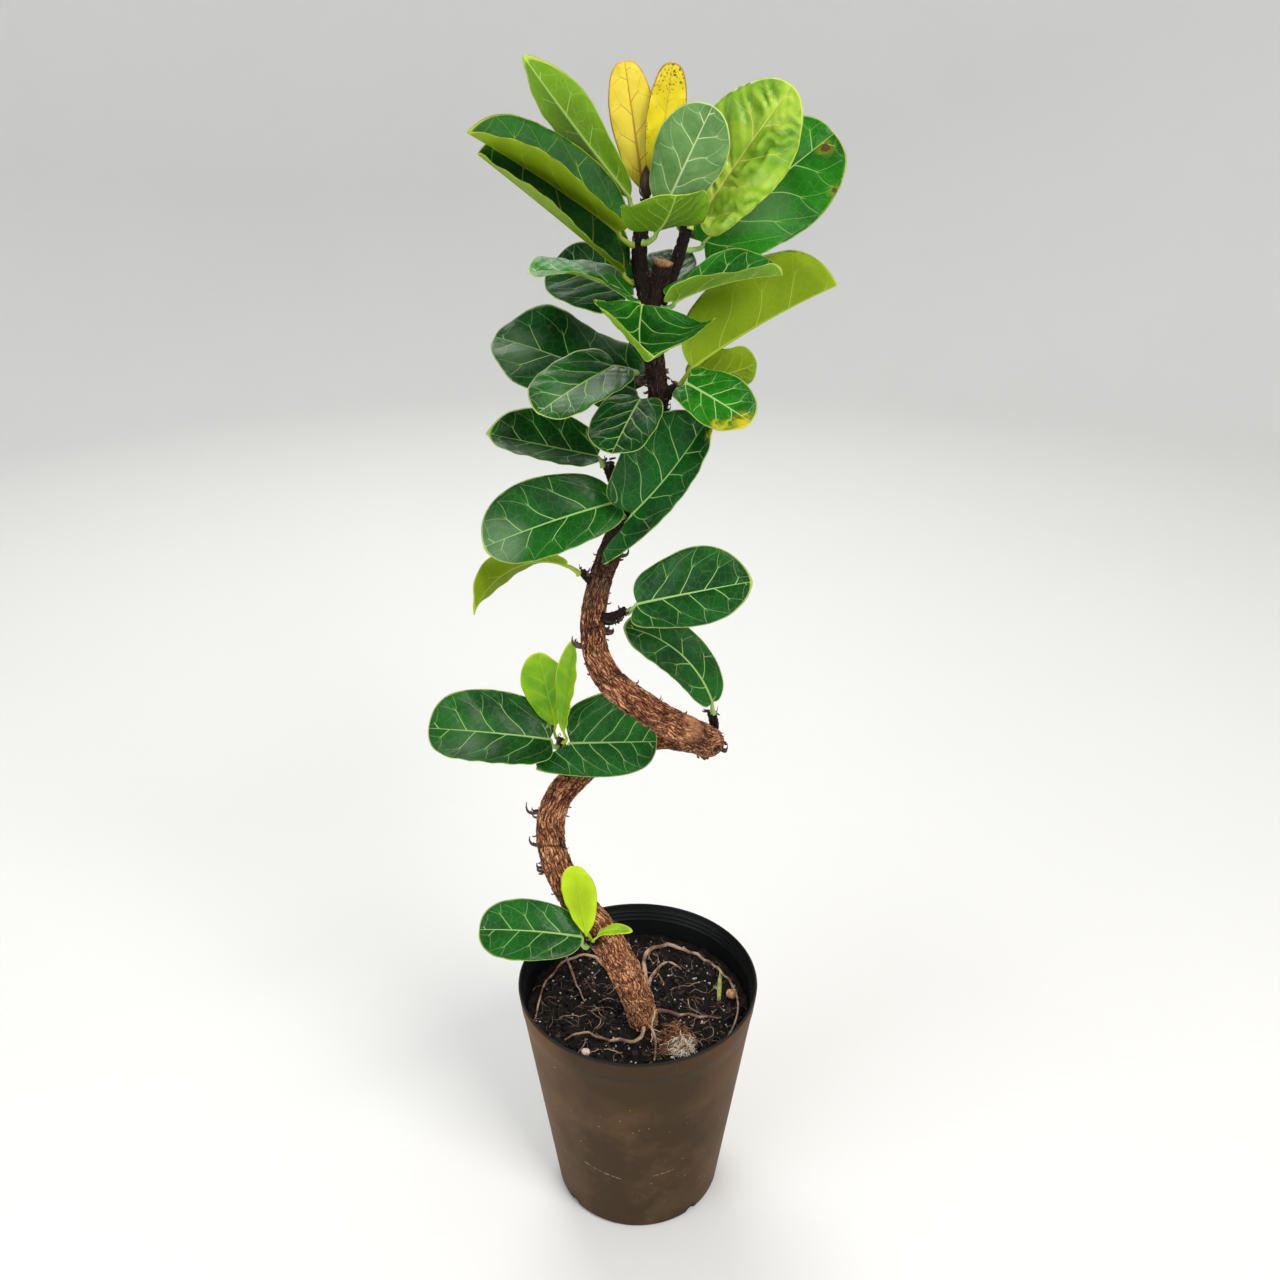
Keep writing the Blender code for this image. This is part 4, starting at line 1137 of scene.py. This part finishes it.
# Where the blade starts, the way it points, its size, and how it is curved and carried
Leaf = namedtuple("Leaf", "name tone joint bearing rise length width roll bend fold cup lobe point "
                          "base skew sweep wave waves drop stalk",
                  defaults=(0, 0, 8, 0, 0.2, 0.95, 0.85, 0, 0, 2, 2.0, 8, 1.0))
LEAVES = (
    # Low shoot
    Leaf("leaf_low_left", "dark", (-43, -61, 307), 180, 5, 80, 50, roll=-36, bend=40, lobe=0.04,
         drop=15),
    Leaf("leaf_low_upright", "lime", (-39, -62, 310), 175, 82, 64, 27, roll=90, bend=10, fold=6, lobe=0,
         wave=0.5, stalk=0.7, drop=4, base=1.3),
    Leaf("leaf_low_small", "lime", (-31, -63, 309), -20, 24, 34, 10, roll=20, bend=75, fold=10,
         lobe=0, point=1.2, wave=0.3, stalk=0.6, drop=4),
    # Middle left shoot
    Leaf("leaf_middle_left", "dark", (-68, 17, 436), 185, 9, 94, 69, roll=-37, bend=12, cup=16,
         lobe=0.12, wave=2.5),
    Leaf("leaf_middle_lime_round", "lime", (-64, 22, 445), 170, 80, 64, 38, roll=-90, fold=10, lobe=0,
         wave=0.5, stalk=0.7, base=1.4),
    Leaf("leaf_middle_lime_narrow", "lime", (-57, 8, 447), -6, 82, 80, 22, roll=55, fold=30, lobe=0,
         point=0.9, wave=1, stalk=0.7, base=1.2),
    Leaf("leaf_middle_right", "dark", (-52, 13, 435), -3, 3, 67, 68, roll=60, bend=10, lobe=0.38,
         skew=0.2),
    # Spiral's upper turn
    Leaf("leaf_arched", "dark", (56, 3, 477), 182, 44, 96, 40, roll=-55, bend=20, sweep=55, lobe=0.1,
         point=1.1, drop=3),
    Leaf("leaf_right", "dark", (0, -13, 565), -7, 15, 84, 57, roll=58, bend=14, lobe=0.15, drop=3,
         point=1.4, skew=0.12),
    Leaf("leaf_drooping", "olive", (-51, 8, 586), 190, -26, 88, 38, roll=52, bend=105, fold=16, lobe=0.1,
         point=2.4, drop=3),
    Leaf("leaf_left_broad", "dark", (-16, 4, 635), 191, -16, 98, 60, roll=-54, bend=34, lobe=0.1,
         point=1.3, fold=14, skew=-0.12),
    Leaf("leaf_right_broad", "deep", (-3, -15, 634), -10, 54, 86, 60, roll=62, bend=10, lobe=0.5,
         sweep=20, fold=25, skew=0.2),
    # Below the crown
    Leaf("leaf_left_pointed", "dark", (-28, 18, 664), 183, 13, 79, 56, roll=-30, fold=24, point=2.0,
         lobe=0.1, drop=4),
    Leaf("leaf_front_round", "deep", (2, -9, 712), -115, -30, 50, 50, roll=0, bend=10, lobe=0.15),
    Leaf("leaf_front_left", "dark", (-15, -12, 735), -140, -18, 66, 54, roll=-18, bend=16, point=1.15),
    Leaf("leaf_back_left", "deep", (-2, 14, 712), 171, 19, 102, 74, roll=-32, bend=18, wave=6,
         waves=2.5),
    Leaf("leaf_right_yellow_edge", "bright", (33, -6, 722), -37, -19, 54, 40, roll=40, bend=14,
         drop=2),
    Leaf("leaf_right_olive", "olive", (38, 28, 714), 5, 15, 46, 44, roll=-62, bend=-10, drop=4),
    Leaf("leaf_right_large_olive", "olive", (36, 4, 730), 9, 28, 110, 84, roll=-52, fold=40, cup=26,
         bend=14, point=1.1, lobe=0.05),
    # Middle of the crown
    Leaf("leaf_front_cup", "bright", (3, -25, 777), -82, -22, 66, 100, fold=38, lobe=0.1, roll=-14,
         bend=-115, point=1.1),
    Leaf("leaf_centre_left", "bright", (-5, -10, 780), 188, 14, 68, 52, roll=-6, fold=10, bend=44,
         point=1.15, wave=3),
    Leaf("leaf_centre_right", "bright", (24, -16, 778), -3, 14, 70, 46, roll=4, fold=34, bend=25,
         wave=3),
    Leaf("leaf_back_dark", "deep", (-7, 13, 777), 148, 13, 61, 54, roll=-40),
    Leaf("leaf_back_gap", "deep", (20, 19, 782), 84, 22, 42, 36),
    # Crown, left shoot
    Leaf("leaf_crown_left_low", "olive", (-9, 3, 793), 189, 39, 115, 58, roll=-36, fold=46, bend=2,
         lobe=0.05, point=0.75),
    Leaf("leaf_crown_left_front", "olive", (-12, -4, 819), 190, 33, 109, 62, roll=-22, fold=46, bend=8,
         lobe=0.1, point=1.5),
    Leaf("leaf_crown_tall", "green", (-5, 8, 838), 187, 52, 104, 34, roll=60, fold=20, bend=-8, lobe=0,
         point=1.6),
    Leaf("leaf_young_yellow_left", "yellow", (4, 14, 841), 170, 81, 76, 29, roll=-80, fold=10, lobe=0,
         wave=0.5, stalk=0.6, base=1.2, point=0.7),
    Leaf("leaf_young_yellow_right", "yellow_speckled", (11, 9, 841), 20, 81, 75, 25, roll=75, fold=12,
         lobe=0, point=0.7, wave=0.5, stalk=0.6, base=1.2),
    Leaf("leaf_crown_pale", "pale", (18, -6, 834), -25, 63, 66, 46, roll=100, bend=8, lobe=0.05,
         drop=10),
    Leaf("leaf_crown_front", "green", (12, -13, 820), -75, 32, 50, 56, bend=-30, fold=12, wave=5,
         waves=1.5),
    # Crown, right shoot
    Leaf("leaf_crown_puckered", "puckered", (41, 9, 826), -12, 55, 94, 64, roll=70, bend=10, wave=4,
         base=1.5),
    Leaf("leaf_crown_right_large", "bright", (44, 34, 806), 9, 38, 108, 78, roll=58, bend=14, wave=6,
         drop=10),
)


def leaf_frame(spec):
    """Axes of a leaf: along its chord, across it and out of its upper face."""
    bearing = math.radians(spec.bearing)
    rise = math.radians(spec.rise)
    roll = math.radians(spec.roll)
    along = np.array((math.cos(bearing) * math.cos(rise), math.sin(bearing) * math.cos(rise),
                      math.sin(rise)))
    level = np.array((-math.cos(bearing) * math.sin(rise), -math.sin(bearing) * math.sin(rise),
                      math.cos(rise)))
    side = np.cross(level, along)
    across = math.cos(roll) * side + math.sin(roll) * level
    face = -math.sin(roll) * side + math.cos(roll) * level
    return along, across, face


def midrib(spec, reach):
    """The rib's points at shares of its length, in the leaf's own axes, with its slope and swing."""
    shares = np.linspace(-0.4, 1.0, RIB_STEPS + 1)
    slope = math.radians(spec.bend) * (0.5 - shares)
    swing = math.radians(spec.sweep) * (shares - 0.5)
    steps = np.stack((np.cos(slope) * np.cos(swing), np.sin(swing), np.sin(slope) * np.cos(swing)), 1)
    path = np.cumsum(steps, axis=0) * (shares[1] - shares[0]) * spec.length
    path -= np.array([np.interp(0.0, shares, path[:, axis]) for axis in range(3)])
    place = np.stack([np.interp(reach, shares, path[:, axis]) for axis in range(3)], -1)
    return place, np.interp(reach, shares, slope), np.interp(reach, shares, swing)


def leaf_surface(spec, row, column):
    """Points of the blade, with their reach along the rib and their distances from it and the margin.

    Row runs 0 to 1 from stalk to tip, and column -1 to 1 across the margins.
    """
    turn = math.pi * (1 - row)
    spread = np.abs(column)
    side = np.sign(column)
    blunt = spec.base + (spec.point - spec.base) * row
    lobe = spec.lobe * (1 - LOBE_SKEW * spec.skew * side)
    edge_reach = ((1 + np.cos(turn)) / 2) ** EDGE_EASE
    edge_reach = edge_reach - lobe * np.sin(turn) * ((1 - np.cos(turn)) / 2) ** 2 * 2
    half = spec.width / 2 * (1 + spec.skew * side) * np.clip(np.sin(turn), 0, 1) ** blunt
    half = half * (1 - WAIST_DEPTH * np.exp(-((row - WAIST_ROW) / WAIST_REACH) ** 2))
    rib_reach = row ** RIB_EASE
    reach = rib_reach + (edge_reach - rib_reach) * spread ** SPREAD_EASE
    out = half * spread
    share = out / (spec.width / 2)
    lift = np.radians(spec.fold + spec.cup * share)
    sideways = side * out * np.cos(lift)
    raised = out * np.sin(lift)
    phase = np.where(column > 0, 0.15, 0.6)
    raised = raised + spec.wave * spread ** 2 * np.sin(math.tau * (spec.waves * row + phase)) * np.sin(turn)
    place, slope, swing = midrib(spec, reach)
    normal = np.stack((-np.sin(slope), 0 * slope, np.cos(slope)), -1)
    beside = np.stack((-np.sin(swing) * np.cos(slope), np.cos(swing), -np.sin(swing) * np.sin(slope)), -1)
    local = place + sideways[..., None] * beside + raised[..., None] * normal
    points = np.array(spec.joint) + local @ np.stack(leaf_frame(spec))
    return points, reach, side * out, half - out


def vein_phase(reach, out, right, seed, sine):
    """Place between the side veins, which lie on the whole numbers; out is a share of the length."""
    spread = abs(out)
    wobble = sine(reach * 11 + spread * 7 + seed) * 0.06 + sine(spread * 19 + reach * 5) * 0.05
    swept = reach - spread * VEIN_LEAN - spread * spread * VEIN_CURL
    return swept * VEIN_PAIRS + right * OTHER_SIDE + wobble


def fold_height(phase, reach, out, seed, sine):
    """Height of the crumpled folds that run beside the side veins, from -1 to 1."""
    sway = sine(reach * 13 + seed) * 0.3 + sine(reach * 31 - out * 24 + seed * 3) * 0.22
    strength = sine(reach * 9 + out * 19 + seed * 2) * 0.4 + 0.6
    return sine((phase * 1.8 + sway) * math.tau) * strength


def blade_relief(spec, reach, out, margin, seed):
    """How far the tissue stands above its sheet, and the depth of the groove and rib on the midrib."""
    right = np.where(out > 0, 1.0, 0.0)
    phase = vein_phase(reach, out / spec.length, right, seed, np.sin)
    away = np.abs(out)
    fade = np.clip(away / 4, 0, 1) * np.clip(margin / 3, 0.12, 1)
    pads = np.abs(np.sin(math.pi * phase)) ** 0.75 - 0.45
    small = np.sin(reach * spec.length * 0.85 + seed) * np.sin(out * 0.75 + seed * 2)
    small += 0.6 * np.sin(reach * spec.length * 1.5 - out * 0.9) * np.sin(out * 1.3 + seed)
    raised = QUILT[spec.tone] * (pads + small * 0.22) * fade
    folds = fold_height(phase, reach, out / spec.length, seed, np.sin)
    raised += PUCKER.get(spec.tone, 0) * folds * np.clip(away / 7, 0, 1) * np.clip(margin / 4, 0, 1)
    ripple = np.sin(reach * spec.length * 0.42 + seed * 3 + right * 2) * np.exp(-(margin / 5) ** 2)
    raised += 0.45 * ripple * np.clip(away / 6, 0, 1)
    groove = 0.5 * np.exp(-(away / 0.9) ** 2) * (1 - reach) ** 0.5
    size = (1.15 - 0.9 * reach) * spec.stalk
    rib = size * np.exp(-(away / (1.1 * size + 0.15)) ** 2)
    return raised, groove, rib


def blade_grid():
    """Rows and columns of a blade's points, which crowd towards its two ends and its rib."""
    even = np.linspace(0, 1, BLADE_ROWS + 1)[1:-1]
    rows = ROWS_CROWDED * (1 - np.cos(math.pi * even)) / 2 + (1 - ROWS_CROWDED) * even
    even = np.linspace(0, 1, BLADE_HALF_COLUMNS + 1)
    half = COLUMNS_CROWDED * even ** 1.5 + (1 - COLUMNS_CROWDED) * even
    return np.meshgrid(rows, np.concatenate((-half[:0:-1], half)), indexing="ij")


def sheet_faces(rows, columns):
    """Faces of an upper and a lower sheet of points, closed at the joint and at the tip."""
    total = rows * columns
    joint = 2 * total
    last = total - columns
    faces = []
    for near in range(last):
        if (near + 1) % columns:
            over = (near, near + 1, near + columns + 1, near + columns)
            faces += [over, tuple(total + index for index in (over[0], over[3], over[2], over[1]))]
    for step in range(columns - 1):
        faces += [(joint, step + 1, step), (joint, total + step, total + step + 1),
                  (joint + 1, last + step, last + step + 1),
                  (joint + 1, total + last + step + 1, total + last + step)]
    return faces


def leaf_mesh(spec, seed):
    """Upper and lower sheets of the blade that meet in a rounded margin, with the stalk under them."""
    row, column = blade_grid()
    points, reach, out, margin = leaf_surface(spec, row, column)
    normal = np.cross(np.gradient(points, axis=0), np.gradient(points, axis=1))
    normal /= np.linalg.norm(normal, axis=-1, keepdims=True)
    raised, groove, rib = blade_relief(spec, reach, out, margin, seed)
    edge = np.sqrt(1 - np.abs(column) ** 8) * BLADE_THICKNESS / 2
    upper = points + normal * (raised + edge - groove)[..., None]
    lower = points + normal * (raised - edge - rib)[..., None]
    ends, end_reach, _, _ = leaf_surface(spec, np.array((0.0, 1.0)), np.array((0.0, 0.0)))
    stalk_points, stalk_faces = stalk_tube(spec)
    places = np.concatenate((upper.reshape(-1, 3), lower.reshape(-1, 3), ends,
                             [tuple(point) for point in stalk_points]))
    total = reach.size
    joint = 2 * total
    stalk = joint + 2
    faces = sheet_faces(*reach.shape)
    faces += [tuple(stalk + index for index in face) for face in stalk_faces]
    blade = np.zeros((len(places), 3))
    sheet = np.stack((reach.ravel(), out.ravel() / spec.length, margin.ravel()), 1)
    blade[:joint] = np.concatenate((sheet, sheet))
    blade[joint:stalk, 0] = end_reach
    blade[stalk:, 2] = STALK_MARGIN
    below = np.zeros(len(places))
    below[total:joint] = 1.0
    below[stalk:] = 1.0
    mesh = bpy.data.meshes.new(spec.name)
    mesh.from_pydata((places * MM).tolist(), [], faces)
    own = np.stack((below, np.full(len(places), seed), np.full(len(places), spec.length)), 1)
    for label, values in (("blade", blade), ("own", own)):
        mesh.attributes.new(label, "FLOAT_VECTOR", "POINT").data.foreach_set("vector", values.ravel())
    faced_out(mesh, merged=True)
    mesh.shade_smooth()
    return mesh


def smooth_step(before, first, second, after, share):
    """A point between first and second on a smooth curve through four points."""
    return 0.5 * (2 * first + (second - before) * share
                  + (2 * before - 5 * first + 4 * second - after) * share ** 2
                  + (3 * first - before - 3 * second + after) * share ** 3)


def stalk_tube(spec):
    """The stalk, which leaves the bark in a small collar and runs out under the blade as its rib."""
    joint = Vector(spec.joint)
    hold, normal, _, _ = trunk_tree.find_nearest(joint - Vector((0, 0, spec.drop)))
    run = leaf_surface(spec, np.array((0.0, STALK_RUN)), np.array((0.0, 0.0)))[0]
    under = -Vector(leaf_frame(spec)[2]) * BLADE_THICKNESS
    entry = Vector(run[0]) + under
    end = Vector(run[1]) + under
    size = STALK_THICKNESS * spec.stalk
    foot = hold + normal * size * 0.6
    bow = foot.lerp(entry, 0.5) + normal * (entry - foot).length * 0.15
    knots = (hold - normal * 0.8, foot, bow, entry, end)
    padded = (knots[0], *knots, knots[-1])
    path = []
    widths = []
    for index, (size_here, size_next) in enumerate(zip(STALK_SWELL, STALK_SWELL[1:])):
        for step in range(STALK_STEPS):
            share = step / STALK_STEPS
            path.append(smooth_step(*padded[index:index + 4], share))
            widths.append((size_here + (size_next - size_here) * share) * size)
    path.append(end)
    widths.append(STALK_SWELL[-1] * size)
    return tube(path, widths, STALK_SIDES)


Tone = namedtuple("Tone", "shade light under vein margin veins roughness coat shine speckles")
TONES = {
    "dark": Tone((0.001, 0.036, 0.003), (0.007, 0.115, 0.007), (0.150, 0.230, 0.004),
                 (0.330, 0.520, 0.170), (0.400, 0.540, 0.110), 0.85, 0.32, 0.04, 0.17, 0.0),
    "deep": Tone((0.001, 0.024, 0.003), (0.003, 0.080, 0.006), (0.120, 0.210, 0.006),
                 (0.290, 0.470, 0.150), (0.330, 0.470, 0.100), 0.8, 0.34, 0.03, 0.12, 0.0),
    "green": Tone((0.008, 0.085, 0.001), (0.045, 0.205, 0.002), (0.110, 0.240, 0.002),
                  (0.430, 0.600, 0.130), (0.480, 0.580, 0.070), 0.75, 0.38, 0.04, 0.25, 0.0),
    "bright": Tone((0.002, 0.066, 0.002), (0.018, 0.215, 0.005), (0.140, 0.280, 0.004),
                   (0.400, 0.600, 0.180), (0.470, 0.600, 0.100), 0.85, 0.34, 0.04, 0.16, 0.0),
    "lime": Tone((0.080, 0.250, 0.001), (0.300, 0.510, 0.002), (0.330, 0.480, 0.003),
                 (0.480, 0.640, 0.050), (0.520, 0.560, 0.020), 0.3, 0.4, 0.04, 0.25, 0.0),
    "olive": Tone((0.002, 0.046, 0.004), (0.010, 0.125, 0.006), (0.155, 0.245, 0.003),
                  (0.360, 0.430, 0.050), (0.430, 0.480, 0.045), 0.8, 0.42, 0.0, 0.12, 0.0),
    "pale": Tone((0.050, 0.150, 0.030), (0.170, 0.320, 0.090), (0.200, 0.380, 0.050),
                 (0.560, 0.700, 0.340), (0.560, 0.700, 0.230), 0.75, 0.46, 0.02, 0.22, 0.0),
    "puckered": Tone((0.130, 0.310, 0.003), (0.480, 0.660, 0.060), (0.290, 0.440, 0.030),
                     (0.720, 0.620, 0.190), (0.600, 0.680, 0.110), 0.65, 0.34, 0.10, 0.30, 0.0),
    "yellow": Tone((0.640, 0.500, 0.020), (0.800, 0.660, 0.070), (0.660, 0.540, 0.030),
                   (0.330, 0.110, 0.015), (0.560, 0.300, 0.040), 0.65, 0.45, 0.03, 0.3, 0.12),
    "yellow_speckled": Tone((0.560, 0.440, 0.002), (0.800, 0.670, 0.006), (0.560, 0.500, 0.004),
                            (0.400, 0.210, 0.008), (0.330, 0.170, 0.010), 0.35, 0.45, 0.03, 0.3, 1.0),
}
BLEMISH_BROWN = (0.090, 0.040, 0.014)
AGED_YELLOW = (0.560, 0.480, 0.010)
SHEEN_GREEN = (0.200, 0.330, 0.170)
# Place, radius and strength of each pale reflection and each stain
SHEENS = (
    ((-92, -8, 608), 34, 0.55), ((-48, -38, 716), 20, 0.40), ((-86, 20, 742), 26, 0.35),
    ((84, 34, 822), 30, 0.30), ((-118, 2, 300), 22, 0.25), ((-128, 8, 440), 24, 0.25),
)
BROWN_STAINS = (
    ((127, 26, 840), 2.6, 0.95), ((122, 43, 864), 3.2, 0.9), ((-18, -36, 728), 2.0, 0.9),
    ((-19, -17, 734), 1.6, 0.8), ((-54, -22, 617), 1.2, 0.7), ((60, -37, 703), 1.5, 0.8),
)
YELLOW_STAINS = (
    ((68, -38, 700), 13.0, 0.9), ((127, 26, 840), 7.0, 0.25), ((122, 43, 864), 8.0, 0.25),
    ((54, -37, 698), 10.0, 0.8),
)


def leaf_paint(name, tone):
    tree = Paint("leaf_" + name)
    point = tree.object_point()
    reach, out, margin = tree.parts(tree.attribute("blade"))
    below, seed, length = tree.parts(tree.attribute("own"))
    below = tree.ease(below, 0.45, 0.55)
    right = tree.math("GREATER_THAN", out, 0.0)
    sine = partial(tree.math, "SINE")
    phase = vein_phase(reach, out, right, seed, sine)
    between = abs(tree.math("FRACT", phase + 0.5) - 0.5)
    vein_number = tree.math("FLOOR", phase + 0.5)
    pitch = length * (0.85 / VEIN_PAIRS)
    away = abs(out) * length
    share = away / (away + margin + 0.01)
    fork = share - FORK_START - sine(vein_number * 2.7 + seed) * 0.10
    thin = 0.36 - share * 0.20
    side_vein = tree.ease(between * pitch - thin, 0.16, -0.12) * tree.ease(fork, 0.16, 0.02)
    branch = abs(between - fork * 1.15) * pitch * 0.8
    branch = tree.ease(branch - thin * 0.6, 0.16, -0.10) * tree.ease(fork, 0.0, 0.03)
    branch = branch * tree.ease(share, 1.0, 0.90)
    main_vein = tree.ease(away + reach * 0.75, 1.15, 0.80)
    flat = tree.joined(reach * length, out * length, seed * 9.0)
    net = tree.ease(tree.cells(flat, 0.16, "DISTANCE_TO_EDGE"), 0.045, 0.010)
    fine_net = tree.ease(tree.cells(flat, 0.55, "DISTANCE_TO_EDGE"), 0.10, 0.02)
    veins = (side_vein * (1.0 - share * 0.25)).most(main_vein).most(branch * 0.55)
    veins = veins.most(net * (0.08 + below * 0.10))
    patches = tree.mottle(point, 38, 3)
    broad = tree.mottle(point, 13, 2)
    glow = tree.ease(between * pitch, 4.0, 0.4) * 0.12
    light = tree.ease(patches * 0.5 + broad * 0.5, 0.36, 0.64) * 0.8 + glow
    # Painted highlight and shade: on the puckered leaf the ridges of its folds are painted lighter and the
    # valleys darker
    if PUCKER.get(name, 0) > 1:
        folds = fold_height(phase, reach, out, seed, sine)
        light = (light + folds * 0.2).most(0.0)
    upper = tree.blend(light.least(1.0), tone.shade, tone.light)
    for place, size, strength in SHEENS:
        sheen = tree.ease(tree.stain_distance(point, place) + (patches - 0.5) * size * 1.5, size, 0.0)
        upper = tree.blend(sheen * strength, upper, SHEEN_GREEN)
    beneath = tree.blend(tree.ease(patches, 0.35, 0.7) * 0.35 + fine_net * 0.12, tone.under,
                         tuple(value * 0.62 for value in tone.under))
    # Undersides are painted lighter along the margin: partly paler edge tissue, partly a painted highlight on
    # the edges
    beneath = tree.blend(tree.ease(margin, 9.0, 0.5) * 0.35, beneath,
                         tuple(min(1.0, value * 1.7) for value in tone.under))
    colour = tree.blend(below, upper, beneath)
    colour = tree.blend(veins * tone.veins * (1.0 - below * 0.25), colour, tone.vein)
    rim = tree.ease(margin, 0.80, 0.35)
    colour = tree.blend(rim * 0.8, colour, tone.margin)
    flecks = tree.ease(tree.cells(point, 55), 0.065, 0.040) * tree.ease(tree.mottle(point, 14), 0.58, 0.68)
    colour = tree.blend(flecks * 0.7, colour, BLEMISH_BROWN)
    if tone.speckles:
        crowd = tree.ease(reach, 0.55, 1.0).most(tree.ease(margin, 3.5, 0.3) * 0.8)
        dots = tree.ease(tree.mottle(point, 620, 3) + crowd * 0.15, 0.68, 0.74)
        colour = tree.blend(dots * tone.speckles * 0.85, colour, BLEMISH_BROWN)
    ragged = tree.mottle(point, 210, 4) * 0.6 + patches * 0.4
    for stains, core, stain_colour in ((YELLOW_STAINS, 0.1, AGED_YELLOW), (BROWN_STAINS, 0.7, BLEMISH_BROWN)):
        for place, size, strength in stains:
            stain = tree.stain_distance(point, place) + (ragged - 0.5) * size * 2.6
            stain = tree.ease(stain, size, size * core)
            colour = tree.blend(stain * strength, colour, stain_colour)
    height = veins * (below * 2.0 - 1.0) * 0.8 + fine_net * (below * 0.4 - 0.2) + patches * 0.3
    rough = tone.roughness + below * 0.16 + patches * 0.10
    return tree.finish(colour, rough, height, 0.5, 0.35, coat=(1.0 - below) * tone.coat, shine=tone.shine)


leaf_paints = {name: leaf_paint(name, tone) for name, tone in TONES.items()}
for number, spec in enumerate(LEAVES):
    piece_name = spec.name.replace("leaf_", "blade_")
    show(piece_name, leaf_mesh(spec, 1.7 * number % 6.3), spec.name,
         leaf_paints[spec.tone])

# Stage
# A plain pale floor that rises all round into a soft wall, under studio lights, seen from a little
# above the crown.
FLOOR_REACH = 2.6
WALL_REACH = 3.8
WALL_HEIGHT = 3.4
FLOOR_PALE = (0.78, 0.78, 0.77)
CAMERA_PLACE = (0.0018, -0.842, 0.9408)
CAMERA_PITCH = 64
CAMERA_LENS = 36
CAMERA_SENSOR = 36
ROOM_PALE = (0.86, 0.88, 0.90)
ROOM_STRENGTH = 0.55
LIGHT_AIM = (0, 0, 0.45)
# Name, place, size, power in watts and colour of each light
LIGHTS = (
    ("key", (1.2, -1.6, 2.2), 1.2, 54, (1.0, 0.97, 0.92)),
    ("fill", (-1.7, -1.4, 0.8), 1.6, 28, (0.92, 0.96, 1.0)),
    ("back", (-0.4, 1.6, 2.2), 1.4, 30, (1.0, 0.98, 0.95)),
)


def floor_paint():
    tree = Paint("pale_floor")
    patches = tree.mottle(tree.object_point(), 3, 4)
    colour = tree.blend(patches, FLOOR_PALE, tuple(value * 0.97 for value in FLOOR_PALE))
    return tree.finish(colour, 0.85 - patches * 0.1, shine=0.1)


floor_edge = FLOOR_REACH / MM
bend = WALL_REACH / MM - floor_edge
sweep_profile = [(0, 0), *arc(floor_edge, bend, bend, -90, 0, 16), (WALL_REACH / MM, WALL_HEIGHT / MM)]
floor_mesh = turned(sweep_profile, 96)
floor_mesh.flip_normals()
floor_mesh.shade_smooth()
floor_mesh.materials.append(floor_paint())
linked("floor", floor_mesh)

for label, place, size, power, colour in LIGHTS:
    light = bpy.data.lights.new(label, "AREA")
    light.size = size
    light.energy = power
    light.color = colour
    lamp = linked(label, light)
    lamp.location = place
    lamp.rotation_euler = (Vector(LIGHT_AIM) - Vector(place)).to_track_quat("-Z", "Y").to_euler()

world = bpy.data.worlds.new("pale_room")
world.use_nodes = True
background = world.node_tree.nodes["Background"].inputs
background["Color"].default_value = (*ROOM_PALE, 1.0)
background["Strength"].default_value = ROOM_STRENGTH
bpy.context.scene.world = world

lens = bpy.data.cameras.new("view")
lens.lens = CAMERA_LENS
lens.sensor_width = CAMERA_SENSOR
lens.clip_start = 0.01
camera = linked("view", lens)
camera.location = CAMERA_PLACE
camera.rotation_euler = (math.radians(CAMERA_PITCH), 0, 0)
bpy.context.scene.camera = camera
bpy.context.scene.view_settings.view_transform = "Standard"

bpy.context.view_layer.update()
